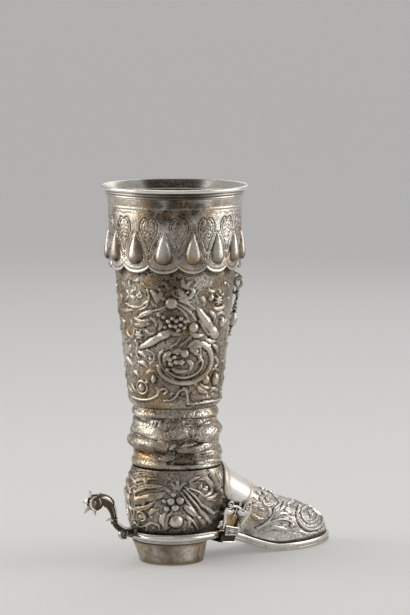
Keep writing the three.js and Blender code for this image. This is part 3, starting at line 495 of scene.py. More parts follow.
def ankle_tube(turn, z):
    """The ankle with a mean swell for its folds."""
    low = THROAT_Z + SEAM
    x = THROAT_X + (z - low) / (ANKLE_TOP_Z - low) * (LEG_X - THROAT_X)
    r = ANKLE_R + FOLD_MEAN + 0 * z
    return np.stack([x + r * np.cos(turn), r * np.sin(turn), z + 0 * turn], -1)


class Finder:
    """Turns pixels of the photograph into places on a surface: degrees from a first turn, and
    a height or share to so many digits. It takes the nearest point of a fine grid that faces
    the camera."""

    def __init__(self, at, turns, levels, first, digits):
        u, v = np.meshgrid(turns, levels)
        spots = at(u, v)
        normal = np.cross(np.gradient(spots, axis=1), np.gradient(spots, axis=0))
        out = spots - np.array([LEG_X, 0, 0])
        out[..., 2] = 0
        normal = normal * np.sign((normal * out).sum(-1))[..., None]
        seen = (normal * (spots - EYE)).sum(-1) < 0
        column, row = project(spots)
        self.column, self.row, self.u, self.v = column[seen], row[seen], u[seen], v[seen]
        self.first, self.digits = first, digits

    def place(self, column, row):
        k = np.hypot(self.column - column, self.row - row).argmin()
        return round(math.degrees(self.u[k] - self.first), 1), round(float(self.v[k]), self.digits)

    def placed(self, work):
        """Rows of chased work with places on the surface and sizes in millimetres."""
        rows = []
        for kind, pixels, size, *rest in work:
            sizes = [round(k / PIXELS_PER_MM, 2) for k in np.atleast_1d(size).tolist()]
            size = tuple(sizes) if isinstance(size, tuple) else sizes[0]
            rows.append((kind, [self.place(*pixel) for pixel in pixels], size, *rest))
        return rows


NEAR_TURNS = NEAR + np.radians(np.linspace(-92, 92, 1100))
ON_LEG = Finder(leg_at, NEAR_TURNS, np.linspace(ANKLE_TOP_Z + SEAM, CHASED_TOP_Z, 900), NEAR, 1)
ON_ANKLE = Finder(ankle_tube, NEAR_TURNS, np.linspace(THROAT_Z + SEAM, ANKLE_TOP_Z, 360), NEAR, 1)
ON_SHOE = Finder(shoe_at, np.radians(np.linspace(-200, 75, 1900)), np.linspace(0.0, 1, 500), 0, 3)

# Chased work, read off the photograph. Each row holds the kind, the pixels that it
# passes through, its half width or radius in pixels, its rise or depth in millimetres or, for a
# stain spot or a patch of painted shade, its amount, and its options, where a half width is in millimetres
LEG_WORK = (
    ("leaf", ((129.7, 294.6), (127.6, 291.8), (125.6, 289.6)), 1.3, 0.6, {"veins": 0}),
    ("leaf", ((129.9, 294.6), (132, 292), (134, 289.8)), 1.3, 0.6, {"veins": 0}),
    ("leaf", ((129.5, 295), (127.6, 297.4), (126, 300.2)), 1.3, 0.6, {"veins": 0}),
    ("leaf", ((130, 295), (132, 297.2), (134.4, 299)), 1.2, 0.6, {"veins": 0}),
    ("curl", ((139.8, 294.6),), 3.4, 0.8, {"half": 0.55, "turns": 1.2, "start": 200}),
    ("stem", ((126, 303), (133, 307), (141, 306.5), (148, 301)), (0.9, 0.7), 0.6),
    ("leaf", ((119.5, 292), (122, 298), (121, 305)), 1.8, 0.7, {"veins": 0}),
    ("leaf", ((121, 308), (127, 310.5), (134, 309.5)), 1.6, 0.6, {"veins": 3}),
    ("stem", ((147.4, 289.5), (149, 297), (146.5, 306), (140, 310)), (0.9, 0.8), 0.7),
    ("leaf", ((151, 290.5), (155.5, 295.5), (157.2, 304)), 2.9, 1.0, {"veins": 4}),
    ("leaf", ((160.4, 291.5), (159.2, 297), (157.4, 304)), 1.7, 0.8, {"veins": 0}),
    ("leaf", ((151, 300), (153.4, 304), (157, 306.5)), 1.5, 0.7, {"veins": 0}),
    ("bead", ((159.5, 289.5),), 1.6, 0.7),
    ("stem", ((173, 290.2), (173.6, 295), (178, 297.4)), (0.8, 0.6), 0.5),
    ("stem", ((176.4, 289.3), (176.6, 292.6), (179.4, 295)), (0.7, 0.5), 0.45),
    ("leaf", ((186.5, 289), (183, 284.4), (182.6, 278.6)), 2.2, 0.8, {"veins": 3}),
    ("leaf", ((186.8, 289.4), (188, 284), (192.4, 281.4)), 1.7, 0.8, {"veins": 0}),
    ("leaf", ((184.6, 298.5), (190.6, 296.8), (193.6, 291), (189.6, 288)), 2.0, 1.0, {"veins": 0}),
    ("leaf", ((178, 288.6), (182, 294), (189, 298.6)), 2.6, 0.8, {"veins": 4, "lobes": 2}),
    ("leaf", ((179, 297), (184, 301), (192, 302.6)), 2.3, 0.7, {"veins": 4}),
    ("bead", ((187, 292.6),), 1.5, 0.9),
    ("bead", ((171.4, 303.8),), 6.0, 1.5, {"over": 0.2}),
    ("shell", ((171.4, 306.5),), 7.2, 1.25, {"aim": 90, "spread": 80, "ribs": 7}),
    ("leaf", ((165.6, 300.5), (161.6, 296.6), (162, 291)), 2.0, 0.7, {"veins": 0}),
    ("stem", ((166, 306.6), (159.5, 309.4), (152, 311.2), (146, 314.2)), (1.0, 0.7), 0.75),
    ("stem", ((166, 309), (160, 312), (154, 313.4)), (0.8, 0.6), 0.6),
    ("leaf", ((153, 311), (144.6, 314), (136.6, 318.4)), 2.4, 0.9, {"veins": 5}),
    ("stem", ((175, 305.5), (181.6, 309.8), (186, 315), (189, 322.5)), (0.9, 0.8), 0.75),
    ("stem", ((177, 303.2), (185, 308), (191.5, 313.6), (195.6, 320)), (0.9, 0.8), 0.75),
    ("stem", ((179, 300.6), (188, 304), (195, 309)), (0.8, 0.7), 0.6),
    ("horn", ((214.6, 334), (208.6, 325.6), (202, 315.6), (196.8, 307)), 5.6, 2.0),
    ("stem", ((208.4, 334.6), (203.4, 328), (198.6, 320.5)), (1.0, 0.8), 0.9),
    ("bead", ((193.6, 327.8),), 5.2, 1.6),
    ("leaf", ((190, 332), (196, 336), (203.5, 335)), 2.2, 0.9, {"veins": 4}),
    ("leaf", ((134.5, 318.6), (142, 321.6), (150.6, 319.8)), 2.3, 0.9, {"veins": 5}),
    ("leaf", ((134.8, 324.4), (143, 325), (151.6, 322.6)), 2.1, 0.9, {"veins": 4}),
    ("leaf", ((151, 318), (155.6, 321.6), (156.6, 327.4)), 1.9, 0.8, {"veins": 3}),
    ("flower", ((218.2, 299.8),), 5.6, 1.3, {"petals": 7}),
    ("bead", ((211.2, 297.8),), 3.6, 1.0),
    ("bead", ((219.8, 291.8),), 2.0, 0.8),
    ("leaf", ((208, 289.5), (212.6, 292), (216, 291)), 1.8, 0.7, {"veins": 0}),
    ("leaf", ((224.6, 305.5), (219.6, 309), (213, 308.6)), 2.2, 0.9, {"veins": 3}),
    ("leaf", ((209.6, 311.6), (214, 315.6), (214.6, 321.6)), 2.0, 0.9, {"veins": 3}),
    ("bead", ((221.6, 321.6),), 4.4, 1.4, {"long": 1.25}),
    ("leaf", ((216.6, 315), (221, 312.6), (226, 314.6)), 1.8, 0.8, {"veins": 0}),
    ("bead", ((159, 314.8),), 2.2, 0.9),
    ("bead", ((163.4, 317.2),), 2.0, 0.8),
    ("bead", ((164.9, 327.3),), 1.9, 0.9),
    ("bead", ((168.4, 321.4),), 2.5, 1.2),
    ("bead", ((172.4, 318.6),), 2.2, 1.1),
    ("bead", ((176.4, 321.2),), 2.5, 1.2),
    ("bead", ((181, 319),), 2.3, 1.1),
    ("bead", ((185.2, 321.6),), 2.4, 1.1),
    ("bead", ((170.8, 325.8),), 2.3, 1.1),
    ("bead", ((175.4, 326.4),), 2.5, 1.2),
    ("bead", ((180.2, 325),), 2.4, 1.2),
    ("bead", ((184.2, 328),), 2.1, 1.0),
    ("bead", ((178, 330.4),), 2.2, 1.0),
    ("leaf", ((167.6, 330), (173, 333.6), (181, 334.4)), 2.2, 0.8, {"veins": 4}),
    ("leaf", ((158.6, 319.6), (161, 325), (158.6, 331)), 2.0, 0.8, {"veins": 3}),
    ("horn", ((166, 334.2), (157.6, 338.4), (150, 342.8), (138.8, 348)), 4.4, 1.7),
    ("bead", ((163.6, 335.6),), 3.6, 1.9),
    ("flower", ((139.4, 334.6),), 5.4, 1.2, {"petals": 6}),
    ("leaf", ((145.6, 330.4), (150.6, 333.6), (155, 333)), 1.8, 0.8, {"veins": 0}),
    ("leaf", ((131, 337.6), (128.4, 334), (126.4, 329.6)), 1.5, 0.7, {"veins": 0}),
    ("leaf", ((131, 338), (133.6, 334.6), (134, 330)), 1.4, 0.7, {"veins": 0}),
    ("leaf", ((131, 338.6), (128, 341), (125, 341.6)), 1.3, 0.6, {"veins": 0}),
    ("curl", ((129.6, 347.6),), 3.2, 0.8, {"half": 0.6, "turns": 1.1, "start": 60, "hand": -1}),
    ("stem", ((135.6, 340.6), (137.6, 345), (136.4, 352), (139, 360), (137.8, 368)), (1.0, 0.6), 0.75),
    ("leaf", ((126.8, 356), (130.6, 361), (134.4, 366.4)), 2.4, 1.1, {"veins": 0, "cup": 0.0}),
    ("leaf", ((138.6, 352), (144, 354.4), (147, 359.6)), 2.0, 0.8, {"veins": 4}),
    ("leaf", ((139.4, 362), (145, 364), (148.6, 369)), 2.0, 0.8, {"veins": 4}),
    ("stem", ((147, 350), (153, 352.6), (154.4, 359), (150.4, 364)), (1.0, 0.6), 0.7),
    ("bead", ((150.6, 358.6),), 1.9, 0.8),
    ("leaf", ((133.4, 371), (138, 374), (139.6, 379)), 1.8, 0.8, {"veins": 3}),
    ("scroll", ((192.6, 349.4), (197.6, 345), (204, 344.6), (209.4, 350.4), (211.4, 360), (208.6, 369.6),
                (201.4, 377.6), (191, 382.4), (179, 383), (168, 379.4), (160.4, 372.8), (158.6, 366)),
     (3.4, 2.0), 1.35),
    ("stem", ((199, 356.6), (202.6, 362), (200.6, 368.6), (195, 374), (186, 377.4), (176, 376.4),
              (168, 371.6)), (1.5, 0.8), 0.95),
    ("curl", ((196.4, 351.4),),
     5.6, 1.2, {"half": 0.85, "turns": 1.15, "start": 120, "hand": -1, "eye": 0.45}),
    ("stem", ((162.4, 350), (159.6, 356), (160.6, 364), (166, 372.6), (174, 379)), (0.9, 0.7), 0.7),
    ("shell", ((177.6, 353.6),), 5.8, 1.1, {"aim": 95, "spread": 95, "ribs": 7}),
    ("bead", ((184.6, 353.8),), 4.4, 1.3),
    ("leaf", ((170.6, 352), (166, 356.6), (163.6, 363)), 2.6, 0.9, {"veins": 4}),
    ("bead", ((169.6, 359.2),), 2.9, 1.1),
    ("bead", ((174.4, 357.4),), 2.2, 1.0),
    ("bead", ((170.8, 364),), 2.7, 1.1),
    ("bead", ((176.2, 362.4),), 2.7, 1.1),
    ("flower", ((181.4, 362.4),), 3.6, 1.0, {"petals": 5}),
    ("leaf", ((187.4, 360), (191.6, 364.6), (190, 370.4)), 2.0, 0.9, {"veins": 3}),
    ("leaf", ((172, 368.4), (179, 371.4), (187, 370.6)), 2.1, 0.9, {"veins": 5}),
    ("bead", ((167.6, 369.8),), 2.0, 0.9),
    ("leaf", ((199.6, 350.6), (200.4, 359), (195.6, 364.6)), 1.5, 0.8, {"veins": 0}),
    ("leaf", ((188.4, 347.2), (193, 343), (199.6, 341)), 2.2, 0.9, {"veins": 4}),
    ("stem", ((181, 344.6), (186.6, 341), (190.6, 336.6)), (0.9, 0.7), 0.7),
    ("stem", ((171, 346.6), (176.6, 343), (180, 338)), (0.9, 0.7), 0.7),
    ("leaf", ((205, 338.6), (211, 341.6), (216.6, 340.6)), 2.0, 0.9, {"veins": 3}),
    ("leaf", ((212.4, 344.6), (216.2, 348), (216.6, 353.4)), 2.2, 1.1, {"veins": 0, "cup": 0.0}),
    ("bead", ((209.6, 345.4),), 1.8, 0.8),
    ("leaf", ((214.6, 357), (217.4, 361.6), (215.6, 367.6)), 1.9, 0.9, {"veins": 3}),
    ("bead", ((214.8, 366.4),), 1.8, 0.8),
    ("ring", ((142.3, 387.2),), 6.6, 0.9, {"half": 0.75}),
    ("bead", ((142.3, 387.2),), 4.2, 1.7, {"long": 1.15}),
    ("bead", ((147.6, 381.6),), 2.0, 0.9),
    ("leaf", ((131.6, 383), (134, 388.6), (137.4, 393)), 1.7, 0.7, {"veins": 0}),
    ("bead", ((153.6, 379.4),), 2.7, 1.2, {"long": 1.7, "lean": -12}),
    ("leaf", ((146.6, 374.6), (150, 371), (156, 370.4)), 1.7, 0.7, {"veins": 0}),
    ("leaf", ((155.6, 386.6), (158.6, 390), (157.6, 395)), 1.6, 0.7, {"veins": 0}),
    ("bead", ((214.6, 378.8),), 4.6, 1.8, {"long": 1.5}),
    ("bead", ((205.8, 379.8),), 4.8, 1.4),
    ("leaf", ((210.6, 371), (214.6, 368.6), (219, 370.4)), 1.6, 0.7, {"veins": 0}),
    ("leaf", ((197.4, 386), (201, 390.6), (207.6, 393)), 2.3, 1.0, {"veins": 5}),
    ("leaf", ((199.6, 383.6), (204, 387.6), (210, 388.4)), 1.8, 0.8, {"veins": 0}),
    ("leaf", ((209.6, 391.6), (213.4, 388.6), (218.4, 390.4)), 2.0, 1.0, {"veins": 3}),
    ("bead", ((195.6, 384),), 1.9, 0.8),
    ("stem", ((133, 396.4), (141.6, 399.6), (150.4, 399), (157, 395.6), (160.4, 390.4), (164.6, 388.6),
              (167, 391.6), (164.6, 394.6)), (1.0, 0.8), 0.9),
    ("stem", ((164.6, 400.6), (171.6, 399.8), (176, 396.4), (179, 391.6), (183, 389.6)), (1.0, 0.8), 0.9),
    ("bead", ((171.6, 393.6),), 1.7, 0.7),
    ("stem", ((183, 388), (186.4, 392), (187.6, 403.4)), (0.8, 0.8), 0.7),
    ("line", ((190.6, 391), (191, 401), (205, 400), (219.6, 396.6)), 0.5, 0.4),
    ("stem", ((187.6, 404.2), (200, 403.2), (212, 401), (221.4, 397.6)), (0.9, 0.9), 0.7),
    ("line", ((226.6, 330), (223.6, 352), (220.6, 376), (218.6, 397)), 0.5, 0.45),
    ("stem", ((224.2, 332), (221.4, 352), (219.2, 374)), (0.6, 0.6), 0.35),
    ("bead", ((117.4, 286),), 3.0, 0.9, {"long": 1.4}),
    ("bead", ((118.6, 309.6),), 3.0, 0.9, {"long": 1.5}),
    ("leaf", ((121.6, 317), (124.6, 322), (124, 329)), 2.4, 0.9, {"veins": 3}),
    ("bead", ((121, 328),), 2.6, 0.9),
    ("bead", ((126.4, 374.6),), 2.6, 0.9, {"long": 1.6}),
    ("leaf", ((127.6, 382), (130, 388), (133.6, 392.6)), 1.6, 0.7, {"veins": 0}),
    ("stem", ((122.6, 282), (125, 286.6), (123.6, 290.6)), (0.7, 0.5), 0.5),
    ("leaf", ((200.6, 296), (204, 301.6), (203.6, 308)), 1.8, 0.7, {"veins": 3}),
    ("stem", ((196, 296), (199, 290.6), (204.6, 288.6)), (0.8, 0.5), 0.55),
    ("leaf", ((162, 282), (166.6, 285), (168.6, 290.4)), 1.6, 0.55, {"veins": 0}),
    ("stem", ((143.4, 284), (146.6, 287), (152, 287.6)), (0.7, 0.5), 0.5),
    # Painted shade: dark patches down the middle of the leg
    ("soot", ((170, 283),), 24, 0.6),
    ("soot", ((172, 318),), 20, 0.4),
    ("soot", ((184, 340),), 18, 0.45),
    ("soot", ((166, 374),), 20, 0.4),
    ("soot", ((178, 395),), 16, 0.35),
    ("soot", ((218, 352),), 9, 0.4),
    ("spot", ((146, 284),), 9, 0.7),
    ("spot", ((190, 330),), 12, 0.5),
    ("spot", ((150, 372),), 14, 0.45),
    ("spot", ((165, 404),), 16, 0.5),
    ("spot", ((128, 330),), 10, 0.35),
)

ANKLE_WORK = (
    ("stem", ((131, 427.5), (145, 428), (158, 427), (170, 425), (180, 423.5)), (8.0, 5.0), 1.0),
    ("stem", ((126, 441), (140, 443), (155, 441.5), (168, 437.5), (182, 433.5)), (11.5, 6.5), 1.7),
    ("bead", ((209, 433),), 17, 1.9, {"long": 0.72, "lean": 15}),
    ("stem", ((180, 451.5), (192, 449.5), (205, 445.5), (219, 439)), (4.2, 4.6), 1.5),
    ("stem", ((131, 458.5), (145, 459), (160, 457.5), (171, 457)), (9.0, 5.0), 1.2),
    ("stem", ((200, 459.5), (212, 457), (224, 455)), (5.0, 6.5), 1.2),
    ("stem", ((133, 466), (160, 467.6), (190, 467.4), (222, 463.6)), (2.6, 2.6), 1.0),
    ("line", ((130, 418.4), (150, 420.2), (175, 420.8), (200, 419.8), (216, 417.4)), 2.4, 0.8),
    ("line", ((131, 434.6), (150, 434.6), (165, 431.4), (178, 427.6)), 1.6, 0.7),
    ("line", ((130, 451), (145, 452), (152, 449.6), (160, 451.6), (170, 449.5)), 2.4, 1.0),
    ("line", ((184, 448), (200, 444), (214, 438.6)), 1.5, 0.8),
    ("line", ((184, 455.6), (200, 452.8), (212, 449.4), (222, 445)), 1.8, 0.8),
    ("line", ((176, 463.4), (192, 463), (204, 462)), 1.8, 0.7),
    ("hollow", ((173.5, 446),), 10, 1.5),
    ("hollow", ((180, 459),), 10, 1.1),
    ("hollow", ((190, 424.5),), 9, 0.8),
    ("line", ((166.5, 432), (168.5, 438.6), (174, 440.6), (179.5, 438), (181, 432.6)), 1.0, 0.5),
    ("line", ((169.5, 432.4), (171, 436.6), (174.2, 437.8), (177.2, 436), (178, 432.4)), 1.0, 0.5),
    ("line", ((163.4, 434), (165, 441), (171, 444.4)), 0.9, 0.45),
    ("line", ((128.6, 446), (131, 442.6), (135, 442), (138, 446)), 0.9, 0.45),
    ("line", ((138, 446), (140.4, 442.4), (145, 442), (148, 446.4)), 0.9, 0.45),
    ("line", ((148, 446.4), (151, 442.4), (156, 442), (158.4, 446)), 0.9, 0.45),
    ("line", ((130.5, 447), (132.6, 444.6), (135, 444.6), (136.4, 447.4)), 0.8, 0.4),
    ("line", ((140.6, 447.4), (142.6, 444.8), (145, 444.8), (146.6, 447.6)), 0.8, 0.4),
    ("line", ((150.6, 447.4), (152.6, 444.8), (155, 444.8), (156.6, 447)), 0.8, 0.4),
    ("line", ((133, 416), (134.6, 411.6), (138, 410.8), (139.6, 414)), 0.8, 0.35),
    ("line", ((141, 416.4), (142.8, 411.8), (146.4, 411.2), (148, 414.4)), 0.8, 0.35),
    ("line", ((149.4, 416.8), (151, 412.2), (154.6, 411.6), (156.4, 414.8)), 0.8, 0.35),
    ("line", ((186, 416.8), (188, 412.2), (191.6, 411.8), (193, 414.8)), 0.8, 0.35),
    ("line", ((195, 416.6), (197, 412), (200.6, 411.6), (202, 414.4)), 0.8, 0.35),
    ("line", ((204, 416), (206, 411.6), (209.4, 411), (210.8, 413.6)), 0.8, 0.35),
    ("leaf", ((158, 432.5), (164, 428.5), (172, 426.5)), 2.2, 0.7, {"veins": 4}),
    ("leaf", ((168, 433), (174, 429), (182, 427)), 2.0, 0.7, {"veins": 4}),
    ("leaf", ((180, 431), (186, 427.5), (192, 425.5)), 1.9, 0.6, {"veins": 4}),
    ("line", ((189, 443), (191, 437), (196, 433)), 0.8, 0.4),
    ("line", ((193, 442), (195.4, 436), (200, 432)), 0.8, 0.4),
    ("line", ((197, 441), (199.6, 435), (204, 431)), 0.8, 0.4),
    ("line", ((201.4, 440), (204, 434.4), (208, 430.6)), 0.8, 0.4),
    ("line", ((206, 438.6), (208.8, 433.4), (212.6, 430)), 0.8, 0.4),
    ("line", ((210.6, 437), (213.6, 432), (217, 429)), 0.8, 0.4),
    ("line", ((187, 452.6), (190, 450.6), (193, 451.2)), 0.8, 0.4),
    ("line", ((194, 450.8), (197, 448.6), (200, 449.2)), 0.8, 0.4),
    ("line", ((201, 448.4), (204, 446), (207, 446.4)), 0.8, 0.4),
    ("line", ((208, 445.6), (211, 443), (214, 443)), 0.8, 0.4),
    ("spot", ((136.4, 453.6),), 8, 0.95),
    ("spot", ((150, 461),), 9, 0.5),
    ("spot", ((143, 409),), 8, 0.6),
    ("spot", ((214, 464),), 6, 0.7),
    ("spot", ((186, 419),), 9, 0.4),
    # Painted shade: dark patches over the middle of the ankle and in its hollows
    ("soot", ((176, 423.5),), 13, 0.55),
    ("soot", ((174, 446),), 11, 0.8),
    ("soot", ((181, 458),), 13, 0.75),
    ("soot", ((158, 449),), 8, 0.45),
    ("soot", ((198, 424),), 8, 0.45),
    ("soot", ((150, 420),), 12, 0.35),
    ("soot", ((158, 421),), 13, 0.55),
    ("soot", ((180, 421),), 13, 0.6),
    ("soot", ((200, 424),), 8, 0.4),
    ("soot", ((174, 447),), 11, 0.85),
    ("soot", ((188, 456),), 12, 0.85),
    ("soot", ((160, 452),), 9, 0.7),
    ("soot", ((203, 456),), 8, 0.6),
    ("soot", ((147, 449),), 8, 0.55),
    ("soot", ((190, 438),), 8, 0.6),
    ("spot", ((136, 452),), 5, 0.9),
    ("spot", ((190, 450),), 6, 0.5),
    ("spot", ((165, 441),), 7, 0.5),
    ("spot", ((150, 409),), 9, 0.5),
)

# Three places here stand up to a tenth of a pixel from those read off, which keeps the shape
# as it was first made: 133.96 and 131.56 were 134 and 131.6, and 487.1 was 487
COUNTER_WORK = (
    ("leaf", ((131, 483.6), (141, 479.4), (158, 478.8)), 2.2, 0.9, {"veins": 7}),
    ("leaf", ((133.96, 493.6), (145, 487), (163.6, 486)), 3.2, 1.2, {"veins": 10, "lobes": 3}),
    ("horn", ((136.6, 500.6), (148, 497.6), (160, 495.6), (165.6, 492)), 4.6, 1.5),
    ("leaf", ((131.56, 509.6), (146, 507.6), (155.6, 500.6)), 2.4, 1.0, {"veins": 8}),
    ("stem", ((131.6, 488), (129.6, 498), (131, 510), (135, 520)), (1.3, 0.9), 0.9),
    ("bead", ((128.6, 477.6),), 3.2, 0.9),
    ("bead", ((126.4, 497),), 3.2, 1.0, {"long": 1.4}),
    ("bead", ((126.4, 512),), 3.0, 0.9, {"long": 1.2}),
    ("curl", ((141.6, 517),), 5.8, 1.2, {"half": 0.8, "turns": 1.4, "start": 130, "hand": -1, "eye": 0.35}),
    ("stem", ((135, 522), (140.6, 526.6), (147, 525)), (1.0, 0.7), 0.8),
    ("leaf", ((148.6, 515), (153, 510.6), (160, 509)), 2.0, 0.9, {"veins": 4}),
    ("bead", ((151.6, 517),), 1.6, 0.8),
    ("scroll", ((146.6, 530.6), (147.6, 525), (153, 523), (159, 526), (159.6, 530.6)), (1.6, 1.3), 0.9),
    ("bead", ((153.4, 528),), 1.6, 0.8),
    ("bead", ((170.9, 501.8),), 3.9, 1.6),
    ("bead", ((180.1, 500.8),), 4.1, 1.7),
    ("bead", ((175.2, 508),), 3.7, 1.5),
    ("bead", ((166.6, 509),), 3.0, 1.2),
    ("bead", ((164.4, 501.6),), 2.4, 1.0),
    ("bead", ((173.6, 495),), 2.6, 1.1),
    ("leaf", ((184, 505.6), (189, 510), (195.6, 517)), 3.2, 1.4, {"veins": 0, "cup": 0.0}),
    ("bead", ((176.2, 522),), 7.0, 1.9),
    ("bead", ((172, 520.4),), 1.9, 2.2),
    ("bead", ((176.6, 519),), 1.7, 2.2),
    ("bead", ((175.4, 524.6),), 1.8, 2.2),
    ("leaf", ((165.6, 513), (161.6, 519), (163.6, 527)), 2.6, 1.0, {"veins": 5}),
    ("leaf", ((177, 490), (173.6, 486), (171, 482.6)), 1.7, 1.0, {"veins": 0}),
    ("leaf", ((177.4, 490), (177.6, 485), (176.6, 480.6)), 1.8, 1.1, {"veins": 0}),
    ("leaf", ((178.6, 490), (181.6, 485.6), (185.4, 482.6)), 1.8, 1.0, {"veins": 0}),
    ("leaf", ((170, 491.6), (165.6, 488.6), (161, 489)), 1.8, 0.8, {"veins": 0}),
    ("stem", ((183.6, 490), (192, 500), (200, 511), (210.6, 522.6)), (1.2, 1.3), 1.1),
    ("stem", ((186, 488.8), (196, 498), (205.6, 507.6), (214.6, 514)), (1.1, 1.2), 1.1),
    ("stem", ((181.6, 492.6), (188, 503), (194.6, 511.6), (203, 521)), (1.0, 1.0), 0.8),
    ("stem", ((184.6, 487.1), (192.6, 489.6), (199.6, 492.6), (207, 497.6), (214.6, 501)), (0.9, 0.8), 0.8),
    ("leaf", ((198.6, 479.6), (205.6, 479), (211, 484.6), (210.6, 492.6), (204.6, 496)),
     2.6, 1.2, {"veins": 5}),
    ("bead", ((200.2, 486.8),), 2.8, 1.1),
    ("curl", ((205.6, 487.6),), 3.2, 1.0, {"half": 0.6, "turns": 1.0, "start": 200, "hand": 1}),
    ("leaf", ((189, 482.6), (193.6, 479), (199, 477.4)), 1.8, 0.8, {"veins": 3}),
    ("leaf", ((206.6, 499.6), (212.6, 497.6), (219, 492.6)), 2.2, 0.9, {"veins": 5}),
    ("stem", ((216.8, 474), (220, 480.6), (218.6, 488.6)), (1.1, 0.7), 0.8),
    ("stem", ((190.6, 519), (194.6, 524), (197.6, 529.6)), (1.1, 0.9), 0.9),
    ("leaf", ((186.6, 515), (189.6, 521), (188.6, 528)), 1.9, 0.9, {"veins": 4}),
    ("leaf", ((200.6, 519), (203.6, 524), (202.6, 530)), 1.8, 0.9, {"veins": 4}),
    ("bead", ((199.6, 518),), 1.7, 0.9),
    ("bead", ((210.7, 510.9),), 1.7, 0.9),
    ("bead", ((183.6, 529.6),), 1.7, 0.8),
    ("stem", ((133, 474), (142, 472.6), (153, 474)), (0.8, 0.6), 0.5),
    # Painted shade over the middle of the counter, and a painted shadow in the recess beside the buckle
    ("soot", ((180, 514),), 34, 0.55),
    ("soot", ((150, 525),), 18, 0.4),
    ("soot", ((218, 505),), 9, 0.9),
    ("soot", ((219, 520),), 9, 0.9),
    ("soot", ((217, 532),), 9, 0.9),
    ("soot", ((212, 490),), 8, 0.5),
    ("spot", ((204, 522),), 8, 0.6),
    ("spot", ((140, 480),), 9, 0.35),
)

VAMP_WORK = (
    ("bead", ((261.6, 488.6),), 2.8, 1.2),
    ("bead", ((266.4, 487),), 2.5, 1.1),
    ("bead", ((258.6, 493.6),), 2.6, 1.1),
    ("bead", ((264, 494),), 3.1, 1.4),
    ("bead", ((269.4, 492),), 2.8, 1.3),
    ("bead", ((261, 499),), 2.6, 1.1),
    ("bead", ((266.6, 499.4),), 2.6, 1.2),
    ("leaf", ((270, 489.6), (275.6, 496), (279.6, 505)), 4.0, 1.2, {"veins": 8}),
    ("leaf", ((263, 503), (268.6, 505), (273.6, 503.6)), 2.2, 0.9, {"veins": 4}),
    ("curl", ((254.6, 506.6),), 3.6, 1.0, {"half": 0.75, "turns": 1.2, "start": 20, "hand": 1}),
    ("curl", ((262.6, 509.6),), 3.2, 0.9, {"half": 0.65, "turns": 1.2, "start": 160, "hand": -1}),
    ("leaf", ((252, 514), (257.6, 518.6), (264, 518.6)), 2.2, 0.8, {"veins": 4}),
    ("leaf", ((268, 508), (270.6, 512.6), (268, 517)), 1.9, 0.8, {"veins": 0}),
    ("stem", ((257, 527.6), (266, 522.6), (272.6, 515), (275.6, 507.6), (282, 500.6)), (1.6, 1.1), 1.0),
    ("stem", ((258, 528), (268, 522.6), (280, 519), (290, 521), (295.6, 526)), (1.5, 1.0), 1.0),
    ("bead", ((285.8, 510.4),), 2.4, 1.0),
    ("bead", ((288.6, 506.4),), 1.7, 0.8),
    ("bead", ((291.8, 514.6),), 1.6, 0.8),
    ("bead", ((291.8, 525),), 2.9, 1.2),
    ("leaf", ((264, 529.6), (275, 527.6), (287, 529.6)), 2.2, 0.6, {"veins": 9}),
    ("leaf", ((279.6, 510.6), (283.6, 506), (285.6, 501)), 1.7, 0.8, {"veins": 0}),
    ("leaf", ((288, 503.6), (294, 500.4), (301.6, 502)), 2.0, 1.0, {"veins": 3}),
    ("leaf", ((277.6, 515.6), (282.6, 513), (289, 514.6)), 1.6, 0.6, {"veins": 0}),
    ("scroll", ((299.6, 505.6), (296.8, 513.6), (299.6, 522.6), (307.6, 528.8), (317, 528), (322.6, 521),
                (321.6, 512), (315, 505.8), (307, 505.4), (302, 510), (302.4, 517.6), (308.6, 522.6),
                (315, 520.6), (317, 515), (313, 510.6), (309, 511.4)), (1.8, 1.3), 1.2),
    ("bead", ((310.6, 515.2),), 2.9, 1.4),
    ("leaf", ((318.6, 506.6), (323.6, 512), (325.6, 519)), 1.6, 0.8, {"veins": 0}),
    ("leaf", ((300, 531.4), (309, 533.6), (319, 531)), 1.6, 0.5, {"veins": 6}),
    ("spot", ((254, 517),), 9, 0.9),
    ("spot", ((252, 506),), 6, 0.5),
    # Painted shade: under the vamp by the sole, and a fainter patch on its side
    ("soot", ((247, 534),), 9, 0.6),
    ("soot", ((258, 522),), 6, 0.35),
    ("line", ((297.2, 513), (297, 507.6), (300.4, 503.6), (306.4, 502.4), (314, 502.6), (321, 506.4),
              (325.4, 513), (325, 520.6), (321, 528), (314, 531.6), (306, 531), (300, 526.6), (297.6, 520),
              (297.2, 513)), 0.7, 0.35),
    ("line", ((262, 531), (268, 529), (275, 529.4)), 0.5, 0.25),
    ("line", ((264, 533), (271, 531.4), (279, 532)), 0.5, 0.25),
    ("line", ((272, 527), (279, 525.4), (286, 527)), 0.5, 0.25),
    ("line", ((283, 533.4), (290, 531.6), (297, 533)), 0.5, 0.25),
    ("line", ((281, 517.6), (287, 517), (292, 519.6)), 0.5, 0.25),
    ("hollow", ((284.6, 515.4),), 1.6, 0.5),
    ("hollow", ((289.4, 519.8),), 1.6, 0.5),
    ("hollow", ((281.6, 523.6),), 1.6, 0.5),
    ("hollow", ((296.4, 500.6),), 1.5, 0.5),
    ("hollow", ((276.4, 521.4),), 1.5, 0.4),
    ("line", ((250, 500), (254, 498), (258, 502)), 0.5, 0.3),
    ("line", ((249, 505), (252, 503.4), (255.6, 502.6)), 0.5, 0.3),
    ("line", ((266, 516), (270, 519), (274.6, 518)), 0.5, 0.3),
)


